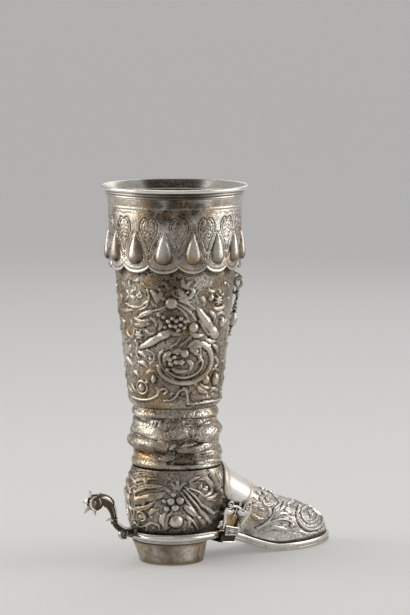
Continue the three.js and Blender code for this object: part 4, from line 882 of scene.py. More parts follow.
def add_object(name, verts, faces, attributes=None, sharp=None):
    mesh = bpy.data.meshes.new(name)
    faces = faces if isinstance(faces, list) else faces.tolist()
    mesh.from_pydata((np.asarray(verts) * MM).tolist(), [], faces)
    mesh.validate()
    for key, values in (attributes or {}).items():
        layer = mesh.attributes.new(key, "FLOAT", "POINT")
        layer.data.foreach_set("value", np.asarray(values, np.float32))
    mesh.polygons.foreach_set("use_smooth", np.ones(len(mesh.polygons), bool))
    if sharp is not None:
        mesh.set_sharp_from_angle(angle=math.radians(sharp))
    mesh.update()
    obj = bpy.data.objects.new(name, mesh)
    bpy.context.scene.collection.objects.link(obj)
    return obj


def grid_faces(rows, cols, wrap_rows, wrap_cols, start=0):
    i = np.arange(rows if wrap_rows else rows - 1)
    j = np.arange(cols if wrap_cols else cols - 1)
    i, j = np.meshgrid(i, j, indexing="ij")
    a = i * cols + j
    b = i * cols + (j + 1) % cols
    c = ((i + 1) % rows) * cols + (j + 1) % cols
    d = ((i + 1) % rows) * cols + j
    return np.stack([a, b, c, d], -1).reshape(-1, 4) + start


def tube(name, rings, attributes=None, sharp=None):
    """A closed shell from rings that run round it: the last ring joins the first."""
    rings = np.asarray(rings)
    faces = grid_faces(rings.shape[0], rings.shape[1], True, True)
    return add_object(name, rings.reshape(-1, 3), faces, attributes, sharp)


def solid_bar(rings):
    """A capped bar through rings: vertices and faces."""
    rings = np.asarray(rings)
    n, m = rings.shape[:2]
    verts = np.concatenate([rings.reshape(-1, 3), rings[:1].mean(1), rings[-1:].mean(1)])
    faces = grid_faces(n, m, False, True).tolist()
    for j in range(m):
        k = (j + 1) % m
        faces.append([n * m, k, j])
        faces.append([n * m + 1, (n - 1) * m + j, (n - 1) * m + k])
    return verts, faces


def slab_faces(n, m):
    """Faces of a slab whose front and back are grids of n by m points, one after the other."""
    front = grid_faces(n, m, False, False).tolist()
    back = grid_faces(n, m, False, False, n * m)[:, ::-1].tolist()
    loop = list(range(m)) + [i * m + m - 1 for i in range(1, n)]
    loop += [(n - 1) * m + j for j in range(m - 2, -1, -1)] + [i * m for i in range(n - 2, 0, -1)]
    return front + back + [[i, j, j + n * m, i + n * m] for i, j in zip(loop, loop[1:] + loop[:1])]


def lathe(profile, count, x=0.0):
    turn = np.linspace(0, 2 * np.pi, count, endpoint=False)
    p = np.array(profile, float)
    r, z = p[:, :1], p[:, 1:2]
    return np.stack([x + r * np.cos(turn), r * np.sin(turn), z + 0 * turn], -1)


# Materials

def nodes_of(name):
    mat = bpy.data.materials.new(name)
    mat.use_nodes = True
    tree = mat.node_tree
    tree.nodes.clear()
    out = tree.nodes.new("ShaderNodeOutputMaterial")
    shader = tree.nodes.new("ShaderNodeBsdfPrincipled")
    tree.links.new(shader.outputs[0], out.inputs[0])
    return mat, tree, shader


def node(tree, kind, **inputs):
    n = tree.nodes.new(kind)
    for key, value in inputs.items():
        if key[0] == "_":
            setattr(n, key[1:], value)
        else:
            socket = n.inputs[int(key[1:])] if key[0] == "i" and key[1:].isdigit() else n.inputs[key]
            if isinstance(value, bpy.types.NodeSocket):
                tree.links.new(value, socket)
            else:
                socket.default_value = value
    return n


def noise(tree, place, scale, detail=4.0, rough=0.55):
    texture = node(tree, "ShaderNodeTexNoise", Vector=place, Scale=scale, Detail=detail, Roughness=rough)
    return texture.outputs[0]


def math_node(tree, op, a, b=0.0, clamp=False):
    n = tree.nodes.new("ShaderNodeMath")
    n.operation = op
    n.use_clamp = clamp
    for k, value in enumerate((a, b)):
        if isinstance(value, bpy.types.NodeSocket):
            tree.links.new(value, n.inputs[k])
        else:
            n.inputs[k].default_value = value
    return n.outputs[0]


def remap(tree, value, low, high, to_low=0.0, to_high=1.0):
    n = tree.nodes.new("ShaderNodeMapRange")
    n.interpolation_type = "SMOOTHSTEP"
    tree.links.new(value, n.inputs[0])
    for k, v in enumerate((low, high, to_low, to_high)):
        n.inputs[k + 1].default_value = v
    return n.outputs[0]


def mix(tree, share, a, b):
    n = tree.nodes.new("ShaderNodeMix")
    n.data_type = "RGBA"
    for k, value in ((0, share), (6, a), (7, b)):
        if isinstance(value, bpy.types.NodeSocket):
            tree.links.new(value, n.inputs[k])
        else:
            n.inputs[k].default_value = value if k == 0 else (*value, 1)
    return n.outputs[2]


BRIGHT = (0.58, 0.55, 0.505)
WARM = (0.37, 0.28, 0.185)
GREY = (0.17, 0.13, 0.092)
# Colour of the patina in the hollows, used also for painted shade
RECESS_AND_SHADE_COLOUR = (0.030, 0.023, 0.017)
GROUND = (0.165, 0.132, 0.098)
GOLD = (0.52, 0.325, 0.12)
# Colour of polished silver, used also for painted highlights
POLISH_AND_HIGHLIGHT = (0.93, 0.905, 0.86)


def silver(name, tone=0.35, ground=0.0, engraved=0.0, stain=0.35, rough=0.24, pale=BRIGHT):
    """Aged silver: bright where it is polished and where a highlight is painted, brown-black in the
    hollows and where shade is painted, warm stains. Four attributes say where: patina with painted
    shade, polish with painted highlights, stains and the chased ground; engraved adds fine curling lines."""
    mat, tree, shader = nodes_of(name)

    def times(a, b, clamp=False):
        return math_node(tree, "MULTIPLY", a, b, clamp)

    def plus(a, b, clamp=False):
        return math_node(tree, "ADD", a, b, clamp)

    def painted(key):
        return node(tree, "ShaderNodeAttribute", _attribute_name=key).outputs["Fac"]

    place = node(tree, "ShaderNodeTexCoord").outputs["Object"]
    clouds = remap(tree, noise(tree, place, 30.0, 3.0), 0.36, 0.62)
    mid = noise(tree, place, 140.0, 5.0, 0.6)
    fine = noise(tree, place, 900.0, 4.0, 0.65)
    deep, low = painted("patina_and_shade"), painted("ground")
    colour = mix(tree, times(clouds, tone, True), pale, WARM)
    blotch = times(remap(tree, mid, 0.45, 0.7), 0.6 * tone + 0.1, True)
    colour = mix(tree, blotch, colour, GREY)
    if ground:
        speck = plus(times(fine, 1.1), 0.35)
        share = times(times(times(low, speck), plus(times(clouds, 0.4), 0.6)), ground, True)
        colour = mix(tree, share, colour, GROUND)
    colour = mix(tree, times(painted("stain"), plus(times(mid, 1.3), 0.2), True), colour, GOLD)
    spots = remap(tree, noise(tree, place, 60.0, 6.0, 0.7), 0.58, 0.72, 0.0, stain)
    colour = mix(tree, spots, colour, GOLD)
    height = plus(times(noise(tree, place, 210.0, 3.0), 0.5), times(fine, 0.16))
    if engraved:
        swirl = times(noise(tree, place, 175.0, 1.5, 0.4), 9.0)
        wave = math_node(tree, "PINGPONG", swirl, 0.5)
        share = times(plus(times(low, 0.75), 0.25), engraved)
        cut = times(remap(tree, wave, 0.04, 0.19, 1.0, 0.0), share, True)
        deep = plus(deep, times(cut, 0.75))
        height = plus(height, times(cut, -2.2))
        height = plus(height, times(times(noise(tree, place, 1500.0, 2.0), low), 0.4))
    grain = times(math_node(tree, "SUBTRACT", fine, 0.5), 0.45)
    dark = plus(deep, times(grain, plus(deep, 0.25)), True)
    colour = mix(tree, dark, colour, RECESS_AND_SHADE_COLOUR)
    polish_and_highlight = times(painted("polish_and_highlight"), plus(times(mid, 0.9), 0.4), True)
    colour = mix(tree, polish_and_highlight, colour, POLISH_AND_HIGHLIGHT)
    tree.links.new(colour, shader.inputs["Base Color"])
    shader.inputs["Metallic"].default_value = 1.0
    wear_and_sheen = plus(plus(plus(times(mid, 0.2), times(dark, 0.2)), rough - 0.09), times(polish_and_highlight, -0.05))
    tree.links.new(wear_and_sheen, shader.inputs["Roughness"])
    bump = node(tree, "ShaderNodeBump", Strength=0.4, Distance=0.0006, Height=height)
    tree.links.new(bump.outputs[0], shader.inputs["Normal"])
    return mat


CHASED = silver("chased_silver", tone=0.85, ground=0.52, engraved=0.8, stain=0.5, pale=(0.80, 0.745, 0.66))
FOLDED = silver("folded_silver", tone=0.8, ground=0.1, engraved=0.7, stain=0.5, rough=0.20,
                pale=(0.78, 0.735, 0.655))
CUT = silver("cut_silver", tone=0.7, ground=0.2, engraved=0.5, stain=0.45, rough=0.22,
             pale=(0.80, 0.765, 0.71))
SHOE = silver("shoe_silver", tone=0.3, ground=0.25, engraved=0.55, stain=0.2, rough=0.20,
              pale=(0.90, 0.88, 0.845))
SHADED = silver("shaded_silver", tone=0.0, stain=0.1, rough=0.3, pale=(0.05, 0.042, 0.034))
SMOOTH = silver("smooth_silver", tone=0.3, ground=0.3, stain=0.2, rough=0.25, pale=(0.80, 0.775, 0.735))
BAND = silver("band_silver", tone=0.35, ground=0.3, stain=0.25, rough=0.45, pale=(0.90, 0.88, 0.85))
# Heel silver: worn and stained, its base colour painted dark as a dark reflection
HEEL_WEAR_AND_SHADE = silver("heel_wear_and_shade_silver", tone=1.0, ground=0.4, stain=0.85, rough=0.26, pale=(0.36, 0.305, 0.24))
CAST = silver("cast_silver", tone=0.35, stain=0.15, rough=0.20, pale=(0.82, 0.79, 0.74))
BLACKENED = silver("dark_silver", tone=0.6, stain=0.2, rough=0.14, pale=(0.20, 0.17, 0.135))


def dress(obj, material, slot, *nodes, body="cup"):
    obj.data.materials.clear()
    obj.data.materials.append(material)
    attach(obj, body)
    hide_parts(*nodes)
    return obj


def hollowness(h, passes, wrap, gain):
    """How deep each point lies under its surroundings, from 0 to 1."""
    near = wrap_blur(h, passes, wrap)
    wide = wrap_blur(near, passes * 5, wrap)
    return np.clip((near - h) * gain * 0.6 + (wide - h) * gain * 0.4, 0, 1)


def shell_of(name, relief, skin, height, inner, gain, material, slot, *nodes, crease_shade=0.0, allover=False,
             inside=0.35, wear_and_sheen=0.0):
    """Closes a relief skin with inner rings of the same columns and dresses it."""
    rings = np.concatenate([skin, inner], 0)
    deep = np.maximum(hollowness(height, 2, True, gain), crease_shade)
    dark = relief.dark.reshape(height.shape)
    deep = deep + dark * (1 - deep)
    ground = np.ones(height.shape) if allover else low_ground(height)
    marks = marks_of(deep, relief.stain.reshape(height.shape), ground, inner, inside,
                     np.maximum(raised_polish_and_highlight(height, True), wear_and_sheen) * (1 - dark))
    return dress(tube(name, rings, marks), material, slot, *nodes)


def low_ground(height):
    """1 on the flat ground of chased work and 0 on what stands up from it."""
    return 1 - smooth(height, 0.05, 0.6)


def raised_polish_and_highlight(h, wrap):
    """1 where work stands well clear of its surroundings: polished by handling, and painted with a highlight.
    """
    return np.clip((h - wrap_blur(h, 14, wrap) - 0.12) * 1.3, 0, 1)


def marks_of(deep, stain, ground, inner, inside=0.35, polish_and_highlight=0.0):
    pad = np.zeros(inner.shape[:2])
    # Inner faces: painted shade by inside, and a painted highlight where that shade is light
    return {
        "polish_and_highlight": np.concatenate([polish_and_highlight + 0 * deep, pad + 0.8 * (1 - np.clip(inside * 1.4, 0, 1))], 0).ravel(),
        "patina_and_shade": np.concatenate([deep, pad + inside], 0).ravel(),
        "stain": np.concatenate([stain, pad], 0).ravel(),
        "ground": np.concatenate([ground, pad], 0).ravel(),
    }


# Leg

def make_leg():
    cols, rows = 410, 226
    turn = NEAR + np.linspace(0, 2 * np.pi, cols, endpoint=False)
    levels = np.linspace(ANKLE_TOP_Z + SEAM, HEM_CUSP_Z + 1.5, rows)
    u, v = np.meshgrid(turn, levels)
    skin = Relief(leg_at, u, v)
    work = ON_LEG.placed(LEG_WORK)
    for half_turn in (0, 180):
        chase(skin, work, lambda places: leg_places(places, half_turn))
    skin.fill(900, 1.9, 0.7, LEG_LOW_Z - 3, 173)
    skin.height *= 1.3
    # Painted shadow of the cuff's hem along the top of the leg
    hem = hem_z(u).ravel()
    skin.dark = np.maximum(skin.dark, 0.75 * smooth(v.ravel(), hem - 4.5, hem - 0.8))
    height = skin.softened()
    fade = smooth(levels, ANKLE_TOP_Z + SEAM, ANKLE_TOP_Z + 3)
    outer = skin.lifted(height * fade[:, None])
    top = leg_at(turn[None], np.array([COLLAR_Z])[:, None])
    outer = np.concatenate([outer, top], 0)
    height = np.concatenate([height, np.zeros((1, cols))], 0)
    skin.stain = np.concatenate([skin.stain, np.zeros(cols)])
    skin.dark = np.concatenate([skin.dark, np.zeros(cols)])
    inner = []
    for z in np.linspace(COLLAR_Z, ANKLE_TOP_Z + SEAM, 9):
        p = leg_at(turn, np.full(cols, z))
        out = unit(p - [LEG_X, 0, z])
        inner.append(p - out * WALL)
    # Painted shade inside the leg, dark at the back and deeper further down
    inside = 0.02 + inside_shade(turn) + np.linspace(0, 0.3, 9)[:, None]
    return shell_of("leg_skin", skin, outer, height, np.array(inner), 4.4, CHASED, "silver_toned", "leg",
                    inside=inside)


def leg_places(places, half_turn):
    """Places on the near side of the leg or, half a turn on, on its far side. The ornament's
    side is left plain there."""
    if half_turn and sum(a for a, _ in places) / len(places) < ORNAMENT_SIDE:
        return None
    return [(NEAR + math.radians(a + half_turn), z) for a, z in places]


# Ankle

def make_ankle():
    cols, rows = 360, 150
    turn = NEAR + np.linspace(0, 2 * np.pi, cols, endpoint=False)
    low = THROAT_Z + SEAM
    levels = np.linspace(low, ANKLE_TOP_Z, rows)
    u, v = np.meshgrid(turn, levels)
    skin = Relief(ankle_at, u, v)
    chase_ankle(skin)
    height = skin.softened()
    swell = wrap_blur(ankle_swell(u, v), 1)
    fade = smooth(levels, low, low + 1)[:, None] * (1 - smooth(levels, ANKLE_TOP_Z - 1, ANKLE_TOP_Z))[:, None]
    outer = skin.lifted(height * fade)
    low_r = THROAT_R - WALL - SEAM
    top_r = LEG_FOOT_R - WALL - SEAM

    def ring(z, r):
        x = THROAT_X + (z - low) / (ANKLE_TOP_Z - low) * (LEG_X - THROAT_X)
        return np.stack([x + r * np.cos(turn), r * np.sin(turn), 0 * turn + z], -1)

    inner = [ring(ANKLE_TOP_Z, top_r), ring(ANKLE_TOP_Z + SPIGOT_H, top_r),
             ring(ANKLE_TOP_Z + SPIGOT_H, top_r - WALL), ring(ANKLE_TOP_Z - 1, top_r - WALL)]
    for z in np.linspace(ANKLE_TOP_Z - 4, low + 3, 60):
        inner.append(ring(z, ANKLE_R + ankle_swell(turn, z) - WALL - 0.3))
    inner += [ring(low, low_r - WALL), ring(low - SPIGOT_H, low_r - WALL),
              ring(low - SPIGOT_H, low_r), ring(low, low_r)]
    # Painted shade in the creases between the folds and a painted highlight on their crests
    stand = swell - wrap_blur(swell, 30)
    folds = np.clip(-stand * 1.25, 0, 0.9)
    # Painted shade along the ankle's foot, where it meets the counter
    skin.dark = np.maximum(skin.dark, 0.7 * (1 - smooth(v.ravel(), low, low + 2.5)))
    return shell_of("ankle_skin", skin, outer, height, np.array(inner), 3.2, FOLDED, "silver_toned", "ankle",
                    crease_shade=folds, allover=True, wear_and_sheen=np.clip(stand * 0.75, 0, 0.85))


def chase_ankle(skin):
    work = ON_ANKLE.placed(ANKLE_WORK)
    for mirror in (1, -1):
        chase(skin, work, lambda places: [(mirror * (NEAR + math.radians(a)), z) for a, z in places])


# Shoe upper

def bowed_x(y):
    return STRAP_X + STRAP_BOW * np.maximum(0, 1 - (y / HEEL_SEAT_R)**2)


def first_crossing(value, t):
    """Where each row of value first passes from below zero to above it, by t."""
    above = value > 0
    at = above.argmax(1)
    none = ~above.any(1)
    at = np.clip(at, 1, len(t) - 1)
    rows = np.arange(len(value))
    a, b = value[rows, at - 1], value[rows, at]
    share = np.clip(-a / np.where(np.abs(b - a) < 1e-12, 1, b - a), 0, 1)
    t_at = t[at - 1] + share * (t[at] - t[at - 1])
    t_at = np.where(above[:, 0], t[0], t_at)
    return np.where(none, t[-1], t_at)


SCAN = np.linspace(0, 1, 600)


def scan(turn):
    return shoe_at(np.asarray(turn)[:, None], SCAN[None])


def sole_cut(points, gap):
    """How far along each meridian the shell meets the plane that lies gap over the sole."""
    return first_crossing(underside(points[..., 0]) + SOLE_T + gap - points[..., 2], SCAN)


def split_cut(points, offset):
    return first_crossing(points[..., 0] - bowed_x(points[..., 1]) - offset, SCAN)


def make_counter():
    cols, rows = 420, 150
    turn = np.linspace(0, 2 * np.pi, cols, endpoint=False)
    points = scan(turn)
    end = np.minimum(sole_cut(points, SEAM), split_cut(points, -SEAM / 2))
    v = np.linspace(0, 1, rows)[:, None] * end[None]
    u = np.broadcast_to(turn, v.shape)
    skin = Relief(shoe_at, u, v)
    both_sides(skin, COUNTER_WORK)
    skin.fill(700, 1.7, 0.6, 0.12, 0.9, lambda u: math.cos(u) < 0.35)
    skin.height *= 1.15
    share = np.linspace(0, 1, rows)
    # Painted shade along the counter's top edge, under the ankle
    skin.dark = np.maximum(skin.dark, np.repeat(0.85 * (1 - smooth(share, 0.03, 0.26)), cols))
    height = skin.softened()
    fade = (smooth(share, 0, 0.015) * (1 - smooth(share, 0.985, 1)))[:, None]
    outer = skin.lifted(height * fade)
    inner = []
    for k in np.linspace(1, 0, 8):
        inner.append(shoe_at(turn, k * end) - facing(shoe_at, turn, np.maximum(k * end, 1e-3)) * WALL)
    return shell_of("counter_skin", skin, outer[::-1], height[::-1], np.array(inner)[::-1], 4.6, CHASED,
                    "silver_toned", "counter")


def both_sides(skin, work):
    """The chased work and its mirror image on the far side."""
    work = ON_SHOE.placed(work)
    for mirror in (1, -1):
        chase(skin, work, lambda places: [(mirror * math.radians(a), t) for a, t in places])


def make_vamp():
    cols, rows = 430, 200
    edge = find_side(lambda points: sole_cut(points, SEAM) - split_cut(points, SEAM / 2))
    turn = edge * np.linspace(-1, 1, cols)
    points = scan(turn)
    low = split_cut(points, SEAM / 2)
    end = np.maximum(sole_cut(points, SEAM), low + 1e-4)
    share = np.linspace(0, 1, rows)[:, None]
    v = low[None] + share * (end - low)[None]
    u = np.broadcast_to(turn, v.shape)
    skin = Relief(shoe_at, u, v)
    both_sides(skin, VAMP_WORK)
    skin.height *= 1.35
    height = skin.softened(wrap=False)
    s = share[:, 0]
    ends = np.sin(np.pi * np.linspace(0, 1, cols))
    fade = (smooth(s, 0, 0.01) * (1 - smooth(s, 0.985, 1)))[:, None] * np.minimum(1, ends * 12)[None]
    outer = skin.lifted(height * fade)
    inner = []
    for k in np.linspace(1, 0, 8):
        t = low + k * (end - low)
        inner.append(shoe_at(turn, t) - facing(shoe_at, turn, t) * WALL)
    inner = np.array(inner)
    rings = np.concatenate([outer, inner], 0)
    deep = np.maximum(hollowness(height, 1, False, 7.0), skin.dark.reshape(height.shape))
    deep = np.maximum(deep, 0.9 * smooth(s, 0.955, 0.985)[:, None])
    polish_and_highlight = raised_polish_and_highlight(height, False) * (1 - skin.dark.reshape(height.shape))
    marks = marks_of(deep, skin.stain.reshape(height.shape), 0.8 * low_ground(height), inner, polish_and_highlight=polish_and_highlight)
    n, m = rings.shape[:2]
    faces = grid_faces(n, m, True, False).tolist()
    # The two ends are almost points: each is closed by one face
    faces.append([i * m for i in range(n)][::-1])
    faces.append([i * m + m - 1 for i in range(n)])
    obj = add_object("vamp_skin", rings.reshape(-1, 3), [f[::-1] for f in faces], marks)
    return dress(obj, SHOE, "silver_bright", "vamp")


def find_side(gap):
    """The largest turn from the toe at which gap is still positive."""
    turns = np.radians(np.linspace(1, 170, 1200))
    values = gap(scan(turns))
    bad = np.nonzero(values <= 0)[0]
    return turns[bad[0] - 1] if len(bad) else turns[-1]


# Straps

def strap_frame(points):
    """Place of the strap's middle and its half width at each point of the shoe."""
    y, z = points[..., 1], points[..., 2]
    lean = BUCKLE_AT[0] + (z - BUCKLE_AT[1]) * math.tan(BUCKLE_LEAN)
    high = smooth(z, 34, 44)
    middle = lerp(lean, bowed_x(y), high)
    half = lerp(STRAP_TAIL_HALF, STRAP_HALF, smooth(z, 31.5, 42))
    return middle, half


def strap_grid(q, steps):
    """Turns and shares on the shoe of the strap's lines, which lie at q across it."""
    turns = np.radians(np.linspace(0, 150, 700))
    points = scan(turns)
    middle, half = strap_frame(points)
    cut = sole_cut(points, 1.2)
    rows = []
    for k in q:
        t = first_crossing(points[..., 0] - middle - k * half, SCAN)
        bad = np.nonzero(t >= cut - 1e-3)[0]
        last = bad[0] if len(bad) else len(turns) - 1
        # Even spacing along the strap
        line = shoe_at(turns[:last + 1], t[:last + 1])
        gaps = np.concatenate([[0], np.cumsum(np.linalg.norm(np.diff(line, axis=0), axis=1))])
        s = np.linspace(0, gaps[-1], steps // 2 + 1)
        u = np.interp(s, gaps, turns[:last + 1])
        v = np.interp(s, gaps, t[:last + 1])
        rows.append(np.stack([np.concatenate([-u[::-1], u[1:]]), np.concatenate([v[::-1], v[1:]])], -1))
    uv = np.array(rows)
    return uv[..., 0], uv[..., 1]


def make_instep_strap():
    q = np.linspace(-1, 1, 56)
    u, v = strap_grid(q, 330)
    base = shoe_at(u, v)
    normal = facing(shoe_at, u, np.maximum(v, 1e-3))
    half = strap_frame(base)[1]
    across = q[:, None] * half
    edge = STRAP_HALF - 3.6
    rib_at = (STRAP_HALF + edge) / 2
    scale = half / STRAP_HALF
    a = np.abs(across) / scale
    rib = np.sqrt(np.clip(1 - ((a - rib_at) / 1.75)**2, 0, 1)) * 0.55
    crown = 0.35 * (1 - np.clip(a / edge, 0, 1)**2)
    lift = SEAM + STRAP_T - 0.45 + np.maximum(rib, crown)
    rim = 1 - np.clip((np.abs(q)[:, None] - 0.965) / 0.035, 0, 1)**2 * 0.5
    outer = base + normal * (SEAM + (lift - SEAM) * rim)[..., None]
    inner = base + normal * SEAM
    height = lift - SEAM
    deep = np.clip((wrap_blur(height, 6, False) - height) * 3.5, 0, 1)
    gold = np.exp(-((a - rib_at) / 1.6)**2) * 0.55
    c, s = math.cos(BUCKLE_LEAN), math.sin(BUCKLE_LEAN)
    east, north = outer[..., 0] - BUCKLE_AT[0], outer[..., 2] - BUCKLE_AT[1]
    pu, pv = (east * c - north * s) / 8, (east * s + north * c) / 8
    near = outer[..., 1] < 0
    # Painted shadow under the buckle
    under = near * smooth(pv, 1.15, 0.9) * smooth(np.abs(pu - 0.1), 1.45, 1.15)
    window = near * smooth(pv, 0.12, -0.06)
    deep = np.maximum(deep * (1 - window), 0.9 * under * (1 - window))
    gold = np.maximum(gold, window)
    # Polish and a painted highlight down the strap's middle
    polish_and_highlight = 0.5 * (1 - under) * np.exp(-(a / edge)**4)
    verts = np.concatenate([outer.reshape(-1, 3), inner.reshape(-1, 3)])
    faces = [face[::-1] for face in slab_faces(*outer.shape[:2])]
    marks = {
        "patina_and_shade": np.concatenate([deep.ravel(), 0 * deep.ravel() + 0.4]),
        "stain": np.concatenate([gold.ravel(), 0 * gold.ravel()]),
        "polish_and_highlight": np.concatenate([polish_and_highlight.ravel(), 0 * polish_and_highlight.ravel()]),
    }
    obj = add_object("strap_band", verts, faces, marks, sharp=50)
    return dress(obj, BAND, "silver_bright", "instep_strap")


# Sole and heel

def full_outline(grow, steps=80):
    half = outline(HEEL_SEAT_R + grow, WAIST_HALF + grow, BALL_HALF + grow, TOE_X + grow, steps)
    return np.concatenate([half, (half * [1, -1])[-2:0:-1]])[::-1]


def make_sole():
    profile = [(-8, 1.3), (-8, SOLE_T - 0.3), (-WELT - WALL - 1.0, SOLE_T), (-0.9, SOLE_T),
               (-0.35, SOLE_T - 0.18), (-0.05, SOLE_T - 0.7), (0, 2.6), (-0.25, 1.9), (-0.45, 1.6),
               (-0.2, 1.3), (-0.05, 0.9), (-0.15, 0.35), (-0.6, 0.0), (-8, 0.0)]
    rings = []
    for grow, z in profile:
        p = full_outline(grow if grow > -8 else -WELT - WALL - 1.2)
        rings.append(np.stack([p[:, 0], p[:, 1], underside(p[:, 0]) + z], -1))
    rings = np.array(rings)
    # The underside and the tray's floor are two plates across the foot
    n, m = rings.shape[:2]
    faces = grid_faces(n, m, False, True).tolist()
    half = m // 2
    for row, flip in ((0, True), (n - 1, False)):
        start = row * m
        for k in range(1, half):
            a, b = start + (k - 1), start + k
            c, d = start + (m - k) % m, start + (m - k + 1) % m
            face = [a, b, c, d] if k > 1 else [start, start + 1, start + m - 1]
            faces.append(face[::-1] if flip else face)
        last = [start + half - 1, start + half, start + half + 1]
        faces.append(last[::-1] if flip else last)
    dark = np.zeros((n, m))
    dark[8:11] = 0.55
    dark[:2] = 0.6
    marks = {"patina_and_shade": dark.ravel(), "stain": 0 * dark.ravel()}
    obj = add_object("sole_plate", rings.reshape(-1, 3), faces, marks, sharp=40)
    return dress(obj, SMOOTH, "silver_bright", "sole")


def blotches(points, count, size, seed):
    """A field of ragged round spots over the points, from 0 to 1."""
    rng = np.random.default_rng(seed)
    flat = points.reshape(-1, 3)
    field = np.zeros(len(flat))
    for at in flat[rng.integers(len(flat), size=count)]:
        r = size * rng.uniform(0.4, 1.3)
        near = np.exp(-(((flat - at)**2).sum(1) / r**2)**1.5)
        field = np.maximum(field, near * rng.uniform(0.4, 1.0))
    return field.reshape(points.shape[:-1])


def make_heel():
    foot = HEEL_PLATE_T
    z = np.linspace(foot, HEEL_TOP_Z, 60)
    f = (z - foot) / (HEEL_TOP_Z - foot)
    r = HEEL_BASE_R + 0.15 + (HEEL_TOP_R - HEEL_BASE_R - 0.15) * f - 0.1 * np.sin(np.pi * f)
    r[0] = HEEL_BASE_R
    outer = list(zip(r, z))
    inner = [(rr - WALL, zz) for rr, zz in outer[::-6]] + [(HEEL_BASE_R - WALL, foot)]
    rings = lathe(outer + inner, 360)
    rise = (rings[..., 2] - foot) / (HEEL_TOP_Z - foot)
    rings[..., 0] -= HEEL_LEAN * rise
    turn = np.arctan2(rings[..., 1], rings[..., 0])
    stain = np.exp(-((turn - math.radians(-58)) / 0.22)**2) * smooth(rise, 0.2, 1) * 0.75
    stain = np.maximum(stain, np.exp(-((turn - math.radians(-168)) / 0.2)**2) * smooth(rise, 0.3, 1) * 0.6)
    # Painted shade under the seat bar and along the foot, and a painted dark reflection down the side that
    # faces the camera
    deep = 0.75 * smooth(rise, 0.84, 1.0) + 0.4 * (1 - smooth(rise, 0, 0.1))
    deep = np.maximum(deep, 0.5 * np.exp(-((turn - math.radians(-128)) / 0.3)**2))
    # Painted highlights in two upright streaks
    polish_and_highlight = 0.8 * np.exp(-((turn - math.radians(-94)) / 0.24)**2)
    polish_and_highlight = polish_and_highlight + 0.4 * np.exp(-((turn - math.radians(-150)) / 0.1)**2)
    polish_and_highlight = polish_and_highlight * smooth(rise, 0.02, 0.2) * (1 - smooth(rise, 0.7, 0.95))
    deep = np.maximum(deep, 0.5 * blotches(rings, 420, 0.9, 41))
    stain = np.maximum(stain, 0.8 * blotches(rings, 70, 2.4, 42) * smooth(rise, 0.1, 0.9))
    polish_and_highlight = np.maximum(polish_and_highlight, 0.4 * blotches(rings, 140, 2.4, 43)) * (1 - deep)
    marks = {"patina_and_shade": deep.ravel(), "stain": stain.ravel(), "polish_and_highlight": polish_and_highlight.ravel()}
    obj = tube("heel_ring", rings, marks, sharp=50)
    return dress(obj, HEEL_WEAR_AND_SHADE, "silver_toned", "heel")


def make_heel_plate():
    c = 0.35
    profile = [(0.001, 0), (HEEL_BASE_R - 3, 0), (HEEL_BASE_R - c, 0), (HEEL_BASE_R - 0.1, 0.12),
               (HEEL_BASE_R, c), (HEEL_BASE_R, HEEL_PLATE_T), (0.001, HEEL_PLATE_T)]
    rings = lathe(profile, 160)
    verts, faces = solid_bar(rings)
    zero = np.zeros(len(verts))
    obj = add_object("heel_base", verts, faces, {"patina_and_shade": zero + 0.15, "stain": zero}, sharp=50)
    return dress(obj, HEEL_WEAR_AND_SHADE, "silver_toned", "heel_plate")


# Cuff and lip

def drift(turn):
    """The bosses are spaced by hand, a few degrees off even steps."""
    return BOSS_DRIFT * np.sin(2 * turn - 1.19)


def share_of(turn):
    """Place between bosses: 0 on a boss and half a step either way."""
    steps = (turn - drift(turn - drift(turn)) - BOSS_FIRST) / (2 * np.pi) * BOSS_COUNT
    return steps - np.round(steps)


def hem_z(turn):
    bow = 1 - np.sqrt(1 - (1.9 * share_of(turn))**2)
    return HEM_TIP_Z + (HEM_CUSP_Z - HEM_TIP_Z) * bow / (1 - math.sqrt(1 - 0.95**2))


def cuff_radius(z):
    levels = [HEM_TIP_Z, HEM_CUSP_Z + 1.5, LINE_Z, COLLAR_Z]
    return np.interp(z, levels, [HEM_R - 0.05, HEM_R + 0.25, CUFF_R, CUFF_TOP_R])


def teardrop_width(z, half):
    """Half width of a raised teardrop at a height: round at the foot and pointed at the top."""
    share = np.linspace(0, 1, 200)[:, None]
    handles = [(0, 0), (half * 1.45, -0.4), (half * 1.15, BOSS_LENGTH * 0.45), (0, BOSS_LENGTH)]
    drop = bezier(handles, share)
    return np.interp(z, BOSS_FOOT_Z + drop[:, 1] - drop[0, 1], np.maximum(drop[:, 0], 0), left=0, right=0)


def cuff_inside(turn, low):
    """Rings of the cuff's inner face, from the collar down to the hem."""
    inner = []
    for k in (1, 0.75, 0.5, 0.25, 0):
        level = low + (COLLAR_Z - low) * k
        climb = np.clip((level - HEM_CUSP_Z) / (LEG_TOP_Z - HEM_CUSP_Z), 0, 1)
        r = np.where(level < HEM_CUSP_Z, HEM_R - WALL, lerp(HEM_R - WALL, LEG_TOP_R + SEAM, climb))
        inner.append(np.stack([LEG_X + r * np.cos(turn), r * np.sin(turn), level], -1))
    return np.array(inner)


